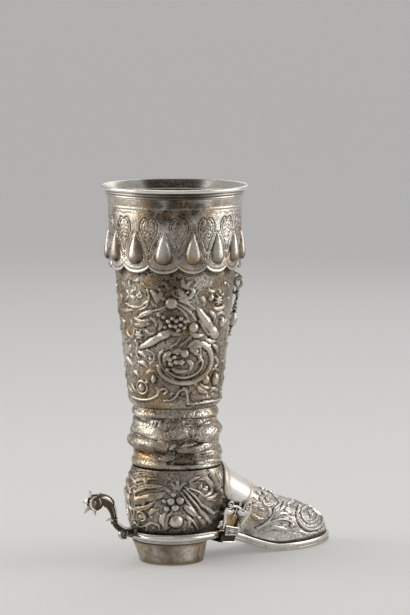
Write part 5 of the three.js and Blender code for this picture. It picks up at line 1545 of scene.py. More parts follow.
def make_cuff():
    cols, rows = BOSS_COUNT * 42, 140
    turn = BOSS_FIRST + np.linspace(0, 2 * np.pi, cols, endpoint=False)
    turn = turn + drift(turn)
    low = hem_z(turn)
    f = np.linspace(0, 1, rows)[:, None]
    z = low + (COLLAR_Z - low) * f
    u = np.broadcast_to(turn, z.shape)

    def cuff_at(t, level):
        r = cuff_radius(level)
        return np.stack([LEG_X + r * np.cos(t), r * np.sin(t), level + 0 * t], -1)

    skin = Relief(cuff_at, u, z)
    pitch = 2 * np.pi / BOSS_COUNT
    across = share_of(u) * pitch * CUFF_R
    up = (z - BOSS_FOOT_Z) / BOSS_LENGTH
    half = BOSS_WIDTH / 2
    width = np.where((up < 0) | (up > 1), 0, teardrop_width(z, half))
    ratio = np.abs(across) / np.maximum(width, 1e-3)
    tall = (BOSS_RISE + 0.1) * np.clip(width / (half * 0.98), 0, 1)**0.85
    boss = np.where(ratio < 1, tall * np.sqrt(np.clip(1 - ratio**2, 0, 1)), 0)
    chase_cuff(skin)
    h = skin.grid().copy()
    hem = z - low
    h += 0.28 * np.exp(-((hem - 0.7) / 0.55)**2) - 0.22 * np.exp(-((hem - 2.0) / 0.35)**2)
    h += 0.12 * np.exp(-((hem - 2.7) / 0.3)**2)
    h += 0.3 * np.exp(-((z - LINE_Z) / 0.38)**2)
    h -= 0.14 * np.exp(-((z - LINE_Z + 0.9) / 0.25)**2)
    groove = np.exp(-((ratio - 1.12) / 0.1)**2) * (width > 0.4) * 0.22
    h = np.where(boss > 0, boss, h * smooth(ratio, 1.0, 1.15) - groove)
    h = wrap_blur(h, 1)
    outer = skin.lifted(h)
    inner = cuff_inside(turn, low)
    deep = hollowness(np.where(boss > 0, 0, h), 2, True, 8.0)
    deep = np.maximum(deep, skin.dark.reshape(z.shape))
    deep = np.maximum(deep, np.exp(-((ratio - 1.1) / 0.14)**2) * (width > 0.4) * 0.7)
    deep = np.maximum(deep, 0.55 * np.exp(-((hem - 2.0) / 0.6)**2))
    aside = across / np.maximum(width, 1e-3)
    # Painted shade on the bosses, darker towards their foot and one side
    deep = np.where(boss > 0.4, 0.12 + 0.55 * smooth(up, 0.34, -0.02) + 0.4 * smooth(aside, 0.25, 1.0), deep)
    rings = np.concatenate([outer, inner], 0)
    engraved = smooth(z, LINE_Z - 3, LINE_Z - 7) * smooth(hem, 1.5, 3.5)
    dark = skin.dark.reshape(z.shape)
    # A painted highlight on the left of each boss; polish and a painted highlight on the hem and line beads
    polish_and_highlight = np.where(boss > 0.4, 0.45 * np.exp(-((aside + 0.25) / 0.4)**2) * smooth(up, 0.1, 0.4), 0)
    edges = 0.4 * np.exp(-((hem - 0.7) / 0.6)**2) + 0.6 * np.exp(-((z - LINE_Z) / 0.5)**2)
    polish_and_highlight = np.maximum(polish_and_highlight, edges) * (1 - dark)
    ground = np.where(boss > 0.2, 0, engraved * 0.8)
    marks = marks_of(deep, skin.stain.reshape(z.shape), ground, inner, polish_and_highlight=polish_and_highlight)
    obj = tube("cuff_skin", rings, marks)
    return dress(obj, CUT, "silver_bright", "cuff")


def chase_cuff(skin):
    """Engraves the panels between the bosses: an arch with scrolls in it and hatched bands. It also paints
    patches of shade and warm stains.
    """
    arch = [(0.4, 190.5), (2.0, 195.5), (4.3, 199.6), (5.7, 203.6), (5.2, 207.2), (2.8, 210.2), (0, 208.8)]
    band = [(7.7, 201.8), (5.2, 195.4), (1.5, 186.2)]
    mid_z = 204
    for i in range(BOSS_COUNT):
        even_turn = BOSS_FIRST + 2 * np.pi * (i + 0.5) / BOSS_COUNT
        centre = even_turn + drift(even_turn)

        def cut(points, depth, side=1, shrink=1.0, shift=0.0, half=0.36):
            path = [(centre + side * (x * shrink + shift) / CUFF_R, mid_z + (z - mid_z) * shrink)
                    for x, z in points]
            skin.line(path, half, depth)

        for side in (1, -1):
            cut(arch, 0.75, side)
            cut(arch[1:], 0.55, side, 0.74)
            cut(band, 0.6, side)
            cut(band, 0.5, side, shift=-1.3)
            for k in np.linspace(0.06, 0.94, 12):
                x, z = lerp(7.7, 1.5, k), lerp(201.8, 186.2, k)
                cut([(x - 0.1, z), (x - 1.25, z + 0.6)], 0.4, side, half=0.26)
            for x, z, r in ((2.3, 206.0, 1.5), (1.7, 201.4, 1.2), (1.2, 197.6, 0.9)):
                angle = np.linspace(0.4, 1.6 * np.pi, 9)
                cut([(x + r * math.cos(a), z + r * math.sin(a)) for a in angle], 0.42, side, half=0.3)
            cut([(0.2, 188), (1.0, 192), (0.6, 196)], 0.35, side, half=0.3)
            cut([(6.4, 212.2), (3.6, 212.9), (0, 211.6)], 0.25, side, half=0.28)
        cut([(0, 196.5), (0, 186.5)], 0.4)
        cut([(0, 207.5), (0, 203)], 0.35, half=0.3)
    # Painted shade: round and ragged dark patches, most of them across the front
    for turn, z, r, amount in ((-16, 218.5, 9, 0.85), (0, 219, 10, 0.9), (8, 212, 9, 0.9), (-8, 211, 8, 0.8),
                               (18, 216, 9, 0.8), (14, 204, 8, 0.4), (6, 196, 10, 0.3), (22, 184, 7, 0.6),
                               (-20, 212, 5, 0.6), (38, 218, 5, 0.45), (-62, 214, 4, 0.5), (-70, 200, 9, 0.4),
                               (170, 205, 16, 0.5), (200, 214, 9, 0.5)):
        skin.soot((NEAR + math.radians(turn), z), r, amount)
    for patch in ((-3, 214.5, 21, 5.5, 0.95), (6, 216, 20, 4, 0.95), (4, 207, 14, 5, 0.35),
                  (9, 192, 7, 8, 0.4), (24, 201, 5, 8, 0.35), (-60, 196, 8, 10, 0.5)):
        ragged_painted_shade(skin, *patch)
    for turn, z, r, amount in ((18, 184, 4, 0.95), (14, 187, 3, 0.8), (-10, 185.5, 3, 0.5),
                               (8, 180.5, 4, 0.6), (3, 217.5, 4, 0.95), (10, 216, 3, 0.9),
                               (-6, 212, 5, 0.75), (2, 211, 3, 0.8), (-28, 212, 5, 0.7),
                               (-22, 218, 5, 0.6), (32, 213, 5, 0.55), (12, 206, 3, 0.6),
                               (-55, 190, 6, 0.35), (150, 190, 8, 0.4)):
        skin.spot((NEAR + math.radians(turn), z), r, amount)


def ragged_painted_shade(skin, turn, z, wide, tall, amount, count=60):
    """A ragged patch of painted shade: many small dark spots strewn over an ellipse."""
    rng = np.random.default_rng(int(turn * 10 + z) + 1000)
    for _ in range(count):
        angle, out = rng.uniform(0, 2 * math.pi), math.sqrt(rng.random())
        place = (NEAR + math.radians(turn + wide * out * math.cos(angle)), z + tall * out * math.sin(angle))
        skin.soot(place, rng.uniform(1.6, 3.6), amount * rng.uniform(0.7, 1.0))


def inside_shade(turn):
    """Painted shade inside the mouth: deep at the back and at one side, lighter in between."""
    away = np.abs(np.angle(np.exp(1j * (turn - NEAR - np.pi - 0.03))))
    return np.maximum(np.exp(-(away / 0.5)**10), 0.7 * np.exp(-((away - 2.4) / 0.5)**4))


def make_rim_lip():
    mouth = LEG_TOP_R - WALL
    c = COLLAR_Z
    # Rounded mouldings and the rolled edge
    knots = [(mouth, c), (CUFF_TOP_R, c), (CUFF_TOP_R + 0.5, c + 0.3), (CUFF_TOP_R + 0.62, c + 0.7),
             (CUFF_TOP_R + 0.5, c + 1.1), (CUFF_TOP_R + 0.2, c + 1.4), (CUFF_TOP_R + 0.65, c + 1.7),
             (CUFF_TOP_R + 0.95, c + 2.2), (CUFF_TOP_R + 0.8, c + 2.8), (CUFF_TOP_R + 0.72, c + 3.1),
             (LIP_R - 1.6, c + 3.5), (LIP_R - 0.8, c + 3.75), (LIP_R - 0.15, c + 4.3), (LIP_R, c + 4.9),
             (LIP_R - 0.15, LIP_Z - 0.45), (LIP_R - 0.6, LIP_Z - 0.08), (LIP_R - 1.1, LIP_Z - 0.05),
             (LIP_R - 1.8, LIP_Z - 0.45), (LIP_R - 3.2, c + 4.6), (mouth + 2.6, c + 3.5),
             (mouth + 1.5, c + 2.2), (mouth + 0.4, c + 1.0)]
    cols = 220
    rings = lathe(knots, cols, LEG_X)
    n = len(knots)
    dark = np.zeros((n, cols))
    dark[1:3] = 0.5
    dark[5:7] = 0.75
    dark[8:11] = 0.7
    dark[-2:] = 0.15
    turn = np.linspace(0, 2 * np.pi, cols, endpoint=False)
    dark[-6:] = np.maximum(dark[-6:], 0.05 + 0.92 * inside_shade(turn))
    # Painted dark reflection on the mouldings that face the camera
    facing_us = np.abs(np.angle(np.exp(1j * (turn - NEAR - 0.08))))
    dark[1:11] = np.maximum(dark[1:11], 0.85 * np.exp(-(facing_us / 0.55)**4))
    stain = np.zeros((n, cols))
    stain[2:10] = 0.8 * np.exp(-(np.angle(np.exp(1j * (turn - NEAR - 0.3))) / 0.12)**2)
    polish_and_highlight = np.zeros((n, cols))
    # Polish and a painted highlight on the rolled edge
    polish_and_highlight[12:17] = 0.7
    marks = {"patina_and_shade": dark.ravel(), "stain": stain.ravel(), "polish_and_highlight": polish_and_highlight.ravel()}
    obj = tube("lip_ring", rings, marks, sharp=75)
    return dress(obj, SMOOTH, "silver_bright", "rim_lip")


# Cast and turned fittings

class Parts:
    """Closed bars, balls and rings gathered into one cast piece."""

    def __init__(self):
        self.verts, self.faces, self.marks, self.count = [], [], [], 0

    def add(self, verts, faces, dark, polish_and_highlight=0.0, tint=0.0):
        self.verts.append(np.asarray(verts))
        self.faces += [[i + self.count for i in face] for face in faces]
        looks = [np.broadcast_to(np.asarray(k, float), len(verts)) for k in (dark, polish_and_highlight, tint)]
        self.marks.append(np.stack(looks))
        self.count += len(verts)

    def bar(self, line, across, size, sides=16, flutes=0, cut=0.0, shade=0.85, both=False, dark=0.0, polish_and_highlight=0.0,
            tint=0.0):
        """A closed bar: size gives its half widths beside the line and along across. Unless both is set,
        it gets painted shade on the side away from across and its painted highlight only towards across;
        its flutes are darker."""
        share = np.linspace(0, 1, len(line))
        tangent = unit(np.gradient(line, axis=0))
        across = unit(np.asarray(across, float) * np.ones_like(line))
        side = unit(np.cross(tangent, across))
        top = np.cross(side, tangent)
        turn = np.linspace(0, 2 * np.pi, sides, endpoint=False)
        groove = 0.5 - 0.5 * np.cos(flutes * turn) if flutes else 0 * turn
        c, s = np.cos(turn) * (1 - cut * groove), np.sin(turn) * (1 - cut * groove)
        a, b = size(share)
        a, b = a + 0 * share, b + 0 * share
        rings = (line[:, None] + (a[:, None] * c)[..., None] * side[:, None]
                 + (b[:, None] * s)[..., None] * top[:, None])
        verts, faces = solid_bar(rings)
        low = np.abs(s) * 0 if both else smooth(s, 0.3, -0.7) * shade
        marks = np.maximum(np.maximum(low, groove * shade * (cut > 0)), dark) + 0 * a[:, None]
        shine = (polish_and_highlight if both else polish_and_highlight * smooth(s, 0.1, 0.7)) + 0 * marks
        marks = np.concatenate([marks.ravel(), [0.3, 0.3]])
        self.add(verts, faces, marks, np.concatenate([shine.ravel(), [0, 0]]), tint)

    def ball(self, at, r, dark=0.0, squash=(1, 1, 1), polish_and_highlight=0.0):
        f = np.linspace(0.06, np.pi - 0.06, 13)
        turn = np.linspace(0, 2 * np.pi, 20, endpoint=False)
        rings = np.stack([np.sin(f)[:, None] * np.cos(turn), np.sin(f)[:, None] * np.sin(turn),
                          -np.cos(f)[:, None] + 0 * turn], -1) * r * np.array(squash) + at
        verts, faces = solid_bar(rings)
        self.add(verts, faces, dark, polish_and_highlight)

    def turned(self, profile, at, axis, sides=40, marks=None, hollow=False):
        """A turned body or, when hollow, a ring whose profile closes on itself."""
        axis = unit(np.asarray(axis, float))
        east = unit(np.cross(axis, [0.3, 1, 0.2]))
        north = np.cross(axis, east)
        turn = np.linspace(0, 2 * np.pi, sides, endpoint=False)
        p = np.array(profile, float)
        round_ = np.cos(turn)[:, None] * east + np.sin(turn)[:, None] * north
        rings = at + p[:, :1, None] * round_ + p[:, 1, None, None] * axis
        dark = (np.zeros(len(p)) if marks is None else np.asarray(marks))[:, None] + 0 * turn
        if hollow:
            self.add(rings.reshape(-1, 3), grid_faces(len(p), sides, True, True).tolist(), dark.ravel())
        else:
            verts, faces = solid_bar(rings)
            self.add(verts, faces, np.concatenate([dark.ravel(), dark[[0, -1], 0]]))

    def build(self, name, material, slot, *nodes, body="cup", sharp=55):
        verts = np.concatenate(self.verts)
        marks = np.concatenate(self.marks, 1)
        obj = add_object(name, verts, self.faces, dict(zip(("patina_and_shade", "polish_and_highlight", "stain"), marks)), sharp)
        outward(obj)
        return dress(obj, material, slot, *nodes, body=body)


def outward(obj):
    """Turns every face of closed shells outward."""
    work = bmesh.new()
    work.from_mesh(obj.data)
    bmesh.ops.recalc_face_normals(work, faces=work.faces)
    work.to_mesh(obj.data)
    work.free()


def curve(points, step=0.3):
    return even(spline(points, 16), step)[0]


def make_yoke():
    r = HEEL_SEAT_R + SEAM + YOKE_THICK / 2
    x = np.linspace(YOKE_ARM_X, 0, 24)[:-1]
    arm = np.stack([x, -(r - YOKE_ARM_IN * (x / YOKE_ARM_X)**2)], 1)
    turn = np.linspace(-np.pi / 2, -3 * np.pi / 2, 110)
    half = np.concatenate([arm, np.stack([r * np.cos(turn), r * np.sin(turn)], 1), (arm * [1, -1])[::-1]])
    line = np.concatenate([half, np.full((len(half), 1), YOKE_Z)], 1)
    tangent = unit(np.gradient(line, axis=0))
    out = unit(np.cross(tangent, [0, 0, 1.0]))
    out = np.where(((line - [0, 0, YOKE_Z]) * out).sum(1)[:, None] < 0, -out, out)
    # The section, from the inner face round the crown: a half-round bar between two edges
    h, w = YOKE_TALL / 2, YOKE_THICK / 2
    section = [(-w, -h + 0.15), (-w + 0.3, -h), (0.1, -h), (0.4, -h + 0.12), (0.5, -h + 0.4),
               (0.42, -h + 0.7), (0.75, -h + 1.0), (1.25, -h + 1.5), (w, 0), (1.25, h - 1.5), (0.75, h - 1.0),
               (0.42, h - 0.7), (0.5, h - 0.4), (0.4, h - 0.12), (0.1, h), (-w + 0.3, h), (-w, h - 0.15)]
    marks = np.array([0.6, 0.5, 0.45, 0.2, 0.1, 0.85, 0.3, 0, 0, 0, 0.2, 0.85, 0.1, 0.2, 0.4, 0.5, 0.6])
    away = np.minimum(np.arange(len(line)), np.arange(len(line))[::-1]) / 5
    shrink = np.where(away >= 1, 1, np.sqrt(1 - (1 - np.minimum(away, 1))**2) * 0.8 + 0.2)
    rings = np.array([line + out * (u * shrink)[:, None] + np.array([0, 0, 1.0]) * (v * shrink)[:, None]
                      for u, v in section]).transpose(1, 0, 2)
    verts, faces = solid_bar(rings)
    parts = Parts()
    parts.add(verts, faces, np.concatenate([np.tile(marks, len(line)), [0.3, 0.3]]))
    parts.build("yoke_bar", CAST, "silver_bright", "spur_yoke", sharp=75)


def neck_point(along, up):
    root = np.array([-(HEEL_SEAT_R + 2 * SEAM + YOKE_THICK), 0, YOKE_Z + 1.1])
    return np.array([lerp(root[0], HEAD_AT[0], along), 0, lerp(root[2], HEAD_AT[2], up)])


# The neck's middle line, as shares of the way from its root to the rowel's head
NECK_SPOTS = ((0, 0), (0.15, 0.11), (0.29, 0.17), (0.41, 0.27), (0.49, 0.38), (0.51, 0.51), (0.54, 0.71),
              (0.62, 0.91), (0.74, 1.04), (0.88, 1.07), (1, 1))
SIDEWAYS = (0, 1, 0)
FORK_HALF = ROWEL_T / 2 + SEAM

# Raised arcs across a cheek: radius, first and last degree, half width and look. They are
# bright with a painted highlight, gilt, dark, and dimly bright with a fainter painted highlight
CHEEK_ARCS = (
    (4.15, 92, 262, 0.75, {"polish_and_highlight": 1.0}),
    (2.75, 118, 250, 0.55, {"tint": 1.0, "dark": 0.15}),
    (4.3, -60, 60, 0.5, {"dark": 0.7}),
    (2.9, -50, 75, 0.45, {"polish_and_highlight": 0.6}),
)


def make_neck():
    """The swan neck: a fluted bow that forks into two cheeks."""
    line = curve([neck_point(*spot) for spot in NECK_SPOTS], 0.35)
    share = np.linspace(0, 1, len(line))
    beside = 3.3 * (0.62 + 0.38 * smooth(share, 0.46, 0.8) - 0.12 * np.exp(-((share - 0.45) / 0.09)**2))
    broad = 1.6 + (FORK_HALF + CHEEK_T - 1.6) * smooth(share, 0.3, 0.7)
    clear = np.linalg.norm(line - ROWEL_AT, axis=1) > ROWEL_R + SEAM + 1.2
    stop = len(line) if clear.all() else int(np.argmin(clear))
    tip = np.minimum(1, (stop - np.arange(stop)) / 6)**0.5
    parts = Parts()
    # Painted shade on the bow's side towards the camera
    parts.bar(line[:stop], SIDEWAYS, lambda f: (beside[:stop] * tip, broad[:stop] * tip), 48, 8, 0.2)
    start = max(stop - 16, 0)
    for side in (1, -1):
        add_cheek(parts, side, line, line[start:], beside[start:])
    add_root_curl(parts)
    add_thorn(parts)
    add_bands_and_leaf(parts, line, beside)
    add_ridges(parts, line, beside, stop)
    parts.build("swan_neck", BLACKENED, "silver_dark", "spur_neck")


def add_cheek(parts, side, line, arm, half):
    """A round cheek beside the rowel, drawn out of the neck's last stretch."""
    onward = HEAD_AT + np.linspace(0.2, 4.6, 18)[:, None] * unit(line[-1] - line[-3])
    arm = np.concatenate([arm, onward]) + [0, side * (FORK_HALF + CHEEK_T / 2), 0]
    reach = np.linalg.norm((arm - HEAD_AT) * [1, 0, 1], axis=1)
    disc = np.sqrt(np.clip(4.7**2 - reach**2, 0.02, None))
    wide = np.concatenate([half, np.zeros(len(onward))])
    wide = np.maximum(wide * np.minimum(1, (np.arange(len(arm)) + 1) / 8)**0.5, disc)
    parts.bar(arm, SIDEWAYS, lambda f: (wide, CHEEK_T / 2), 40, 0, 0, both=True, dark=0.75)
    face = HEAD_AT + [0, side * (FORK_HALF + CHEEK_T - 0.1), 0]
    for r, low, high, bold, look in CHEEK_ARCS:
        a = np.radians(np.linspace(low, high, 40))
        arc = face + np.stack([r * np.cos(a), 0 * a, r * np.sin(a)], 1)
        parts.bar(arc, SIDEWAYS, lambda f: (bold * (0.25 + 0.75 * np.sin(np.pi * f)), 0.42 + 0 * f), 12,
                  both=True, **look)


def add_root_curl(parts):
    """The curl at the neck's root and the foot that joins it to the yoke."""
    eye = neck_point(0.26, 0.06)
    turn = np.linspace(0, 2 * np.pi * 1.6, 90)
    reach = np.linspace(3.25, 0.9, 90)
    spiral = eye + np.stack([reach * np.cos(turn + 1.0), 0 * turn, -reach * np.sin(turn + 1.0)], 1)
    # A painted highlight on the curl
    parts.bar(spiral, SIDEWAYS, lambda f: (0.62 - 0.15 * f, 1.45 + 0.2 * f), 16, both=True, polish_and_highlight=0.45)
    disc = [(0.1, -1.3), (2.6, -1.3), (2.6, 1.3), (0.1, 1.3)]
    parts.turned(disc, eye, SIDEWAYS, 32, marks=[0.9] * 4)
    parts.ball(eye, 1.25, squash=(1, 1.55, 1))
    foot = curve([neck_point(-0.12, 0.1), neck_point(0.0, 0.02), neck_point(0.12, 0.0)])
    parts.bar(foot, SIDEWAYS, lambda f: (1.5, 1.5), 20, both=True)


def add_thorn(parts):
    spots = ((0.53, 0.46), (0.58, 0.49), (0.66, 0.485), (0.73, 0.46))

    def size(f):
        return 1.25 * (1 - f)**0.8 + 0.12, 1.1 * (1 - f)**0.8 + 0.12

    # A painted highlight on the thorn
    parts.bar(curve([neck_point(*spot) for spot in spots]), SIDEWAYS, size, 16, both=True, polish_and_highlight=0.9)


def bow_normal(line):
    """Directions square to a line in the spur's own plane."""
    return np.cross(unit(np.gradient(line, axis=0)), [0, 1.0, 0])


def add_bands_and_leaf(parts, line, beside):
    """Two bands over the waist and the leaf on the back of the bow."""
    waist, start = int(len(line) * 0.43), int(len(line) * 0.13)
    for step in (-3, 3):
        around = line[waist + step:waist + step + 3]
        parts.bar(around, SIDEWAYS, lambda f: (2.35, 2.0), 24, both=True, dark=0.4)
    low = line[start:waist]
    out = bow_normal(low)
    out = out * np.sign(out[:, 2:].mean())
    leaf = low + out * (beside[start:waist] * 0.7)[:, None] - [0, 0.5, 0]
    # The leaf carries a painted highlight
    parts.bar(leaf, SIDEWAYS, lambda f: (0.5 + 0.35 * np.sin(np.pi * f), 1.3 + 0 * f), 14, both=True,
              polish_and_highlight=0.85)


def add_ridges(parts, line, beside, stop):
    """A ridge on the bow's front and a crest on each side of its head, both painted with a highlight, and a
    ridge behind with a fainter one.
    """
    start = int(len(line) * 0.46)
    ridge, wide = line[start:stop], beside[start:stop]
    normal = bow_normal(ridge)
    normal = normal * np.sign((normal[:, :1] + 0.3 * normal[:, 2:]).mean())

    def front_size(f):
        return 0.35 + 0.55 * np.sin(np.pi * f)**0.5, 1.6 * np.sin(np.pi * f)**0.4 + 0.1

    def back_size(f):
        return 0.3 * np.sin(np.pi * f)**0.5 + 0.05, 1.75 * np.sin(np.pi * f)**0.3 + 0.05

    parts.bar(ridge + normal * (wide * 0.66)[:, None], SIDEWAYS, front_size, 16, both=True, polish_and_highlight=1.0)
    start = int(len(line) * 0.7)
    crest = line[start:int(len(line) * 0.93)]
    lift = bow_normal(crest)
    lift = lift * np.sign(lift[:, 2:].mean())
    crest = crest + lift * (beside[start:start + len(crest)] * 0.42)[:, None]
    for side in (1, -1):
        parts.bar(crest + [0, side * (FORK_HALF + CHEEK_T - 0.12), 0], SIDEWAYS,
                  lambda f: (0.2 + 0.75 * np.sin(np.pi * f), 0.4 + 0 * f), 12, both=True, polish_and_highlight=1.0)
    back = ridge - normal * (wide * 0.15)[:, None] - [0, 0.3, 0]
    parts.bar(back, SIDEWAYS, back_size, 12, both=True, polish_and_highlight=0.35)


def make_rowel():
    parts = Parts()
    hub = [(PIN_R + 0.09, -0.55), (2.2, -0.55), (2.6, -0.3), (2.6, 0.3), (2.2, 0.55), (PIN_R + 0.09, 0.55)]
    parts.turned(hub, ROWEL_AT, (0, 1, 0), 40, marks=[0.4, 0.2, 0.5, 0.5, 0.2, 0.4], hollow=True)
    for i in range(ROWEL_POINTS):
        a = ROWEL_FIRST + 2 * np.pi * i / ROWEL_POINTS
        reach = np.linspace(1.7, ROWEL_R - 0.15, 24)
        line = ROWEL_AT + np.stack([reach * math.cos(a), 0 * reach, reach * math.sin(a)], 1)
        wide = np.interp(reach, [1.7, 2.7, 4.9, 6, ROWEL_R], [0.8, 0.85, 1.25, 1.05, 0.1])
        thick = np.interp(reach, [1.7, 5, ROWEL_R], [0.5, 0.48, 0.1])
        # The points carry polish and a painted highlight
        parts.bar(line, (0, 1, 0), lambda f: (wide, thick), 4, both=True, polish_and_highlight=0.5)
    parts.build("star_wheel", CAST, "silver_bright", "rowel", body="rowel", sharp=20)


def make_pin():
    half = FORK_HALF + CHEEK_T + 0.1
    end = half + PIN_HEAD_T
    cap = [(0.05, end), (PIN_HEAD_R * 0.5, end - 0.06), (PIN_HEAD_R * 0.85, end - 0.25),
           (PIN_HEAD_R, end - 0.5), (PIN_HEAD_R, half), (PIN_R, half)]
    profile = [(r, -z) for r, z in cap] + cap[::-1]
    parts = Parts()
    parts.turned(profile, ROWEL_AT, (0, 1, 0), 40)
    parts.build("wheel_pin", BLACKENED, "silver_dark", "rowel_pin")


def wall_x(z):
    """How far the leg's front stands from its axis at a height."""
    return float(leg_radius(np.array(z))) + SEAM


def beside_ring(out, up):
    """A place so far out of the leg's front and so far over the ornament's ring."""
    return np.array([wall_x(RING_Z + up) + out, 0, RING_Z + up])


def make_ornament():
    top_z, ball_z, ball_r = RING_Z - 4.4, RING_Z - 31.7, 1.6
    low = np.array([wall_x(ball_z) + ball_r, 0, ball_z])
    high = np.array([wall_x(top_z) + 4.6, 0, top_z])
    parts = Parts()
    add_drop(parts, low, high)
    turn = np.linspace(0, 2 * np.pi, 60)
    oval = np.stack([1.9 * np.cos(turn), 0 * turn, 2.9 * np.sin(turn)], 1)
    ring = np.array([high[0], 0, RING_Z - 0.6]) + oval
    parts.bar(ring, SIDEWAYS, lambda f: (1.0, 1.2), 16, both=True, dark=0.4)
    add_crest(parts)
    c, s = math.cos(ORNAMENT_TURN), math.sin(ORNAMENT_TURN)
    spin = np.array([[c, s, 0], [-s, c, 0], [0, 0, 1]])
    parts.verts = [v @ spin + [LEG_X, 0, 0] for v in parts.verts]
    parts.build("cast_drop", CAST, "silver_bright", "leg_ornament")


def add_drop(parts, low, high):
    """A turned drop from the ball at its foot, by the ovoid and its beads, up to the ring."""
    length = np.linalg.norm(high - low)
    knots = [(0.05, -1.6), (1.1, -1.15), (1.6, 0), (1.1, 1.15), (0.62, 1.6), (0.85, 2.0), (0.6, 2.5),
             (0.75, 3.4), (1.15, 3.8), (0.8, 4.3), (2.0, 5.4), (2.9, 7.4), (3.05, 9.4), (2.75, 11.2),
             (1.9, 13.0), (1.1, 14.0), (0.8, 14.4), (1.7, 14.9), (1.95, 15.6), (1.35, 16.2), (1.1, 16.5),
             (1.55, 17.0), (1.5, 17.6), (0.8, 18.2), (0.75, 18.8), (1.2, 19.4), (1.2, 20.2), (0.65, 20.9),
             (0.7, 22.4), (1.1, 23.0), (1.25, 24.0), (1.1, 24.9), (0.65, 25.5), (0.7, length), (0.05, length)]
    knots = np.array(knots)
    steps = np.arange(len(knots))
    at = np.linspace(0, len(knots) - 1, 5 * len(knots))
    profile = np.stack([np.interp(at, steps, knots[:, k]) for k in (0, 1)], 1)
    rounding = [0.1, 0.2, 0.4, 0.2, 0.1]
    profile[:, 0] = np.convolve(np.pad(profile[:, 0], 2, mode="edge"), rounding, "valid")
    wide = np.convolve(np.pad(profile[:, 0], 12, mode="edge"), np.ones(25) / 25, "valid")
    # Darker in the hollows, over painted shade of 0.35 all over
    recess_and_shade = np.clip(0.35 + (wide - profile[:, 0]) * 2.6, 0.35, 0.95)
    parts.turned(profile, low, high - low, 36, marks=recess_and_shade)
    axis = unit(high - low)
    for side in (-1, 1):
        for turn in (0.5, 1.2):
            add_clasp(parts, profile, low, axis, side, turn)


def add_clasp(parts, profile, low, axis, side, turn):
    """A leaf that clasps the ovoid."""
    f = np.linspace(0, 1, 14)
    up = 5.2 + 6.5 * f
    r = np.interp(up, profile[:, 1], profile[:, 0])
    spin = side * (turn + 0.35 * f)
    out = np.stack([np.cos(spin), np.sin(spin), 0 * f], 1)

    def size(f):
        return 0.42 * np.sin(np.pi * (0.1 + 0.85 * f)) + 0.08, 0.3 + 0 * f

    parts.bar(low + axis * up[:, None] + r[:, None] * out, out, size, 8)


def add_crest(parts):
    """The scroll over the ring, the scroll behind it and three balls down the leg."""
    crest = curve([beside_ring(*at) for at in ((0.9, 5.4), (3.2, 4.6), (5.4, 3.0), (5.6, 1.2), (4.4, 0.4))])
    parts.bar(crest, SIDEWAYS, lambda f: (0.75 - 0.2 * f, 1.5 - 0.5 * f), 20, both=True, dark=0.55)
    parts.ball(beside_ring(4.4, 0.4), 0.85, squash=(1, 1.4, 1))
    spots = ((0.9, 5.4), (0.9, 0), (0.9, -5.8), (2.2, -7), (3.8, -6.2), (3.9, -5.0))
    back = curve([beside_ring(*at) for at in spots])
    parts.bar(back, SIDEWAYS, lambda f: (0.9, 1.2 - 0.2 * f), 16, both=True, dark=0.85)
    parts.ball(beside_ring(3.7, -5.0), 0.8, squash=(1, 1.3, 1))
    for k, z in enumerate((-9.0, -10.8, -12.4)):
        parts.ball(beside_ring(0.85, z), 0.8 - 0.1 * k)


# Buckle

def on_side(spots, off):
    """Places on the shoe's near side from places on the leaned buckle plate, in parts of its
    half width, and the way out there."""
    u, v = np.asarray(spots, float).T * 8
    c, s = math.cos(BUCKLE_LEAN), math.sin(BUCKLE_LEAN)
    goal = np.stack([BUCKLE_AT[0] + u * c + v * s, BUCKLE_AT[1] - u * s + v * c], 1)
    turn, t = np.full(len(u), math.radians(-60)), np.full(len(u), 0.7)

    def flat(a, b):
        return shoe_at(a, b)[:, [0, 2]]

    for _ in range(14):
        here = flat(turn, t)
        ja = (flat(turn + 1e-4, t) - here) / 1e-4
        jb = (flat(turn, t + 1e-4) - here) / 1e-4
        miss = goal - here
        det = ja[:, 0] * jb[:, 1] - ja[:, 1] * jb[:, 0]
        det = np.where(np.abs(det) < 1e-6, 1e-6, det)
        turn = turn + np.clip((miss[:, 0] * jb[:, 1] - miss[:, 1] * jb[:, 0]) / det, -0.3, 0.3)
        t = t + np.clip((ja[:, 0] * miss[:, 1] - ja[:, 1] * miss[:, 0]) / det, -0.2, 0.2)
        turn, t = np.clip(turn, -2.6, -0.15), np.clip(t, 0.05, 1.25)
    normal = facing(shoe_at, turn, t)
    return shoe_at(turn, t) + normal * off, normal


class SideParts(Parts):
    """Bars, curls and balls that lie on the shoe's near side, each with a painted highlight."""

    def rod(self, spots, half, off=2.7, deep=0.9, ends=0.55, lobes=0):
        path, _ = even(spline(spots, 14), 0.045)
        line, normal = on_side(path, off)

        def size(f):
            w = half * (1 - (1 - ends) * np.abs(2 * f - 1)**4)
            w = w * (0.78 + 0.22 * np.abs(np.cos(np.pi * lobes * f))) if lobes else w
            return w, deep * np.ones_like(f)
        # Painted shade on the side towards the shoe and a painted highlight on the outer side
        self.bar(line, normal, size, 16, polish_and_highlight=1.0)

    def curl(self, at, r, half, start, turns=1.3, hand=1, off=2.8, deep=0.9):
        f = np.linspace(0, 1, 60)
        a = math.radians(start) + hand * 2 * np.pi * turns * f
        reach = (r - half / 8) * (1 - 0.72 * f)
        path = np.stack([at[0] + reach * np.cos(a), at[1] + reach * np.sin(a)], 1)
        line, normal = on_side(path, off)
        self.bar(line, normal, lambda f: (half * (1 - 0.35 * f), deep + 0 * f), 14, polish_and_highlight=1.0)
        spot, out = on_side([at], off)
        self.ball(spot[0] + out[0] * 0.25, r * 8 * 0.22, polish_and_highlight=0.5)

    def pearl(self, at, r, off=2.8):
        spot, _ = on_side([at], off)
        self.ball(spot[0], r, polish_and_highlight=0.6)


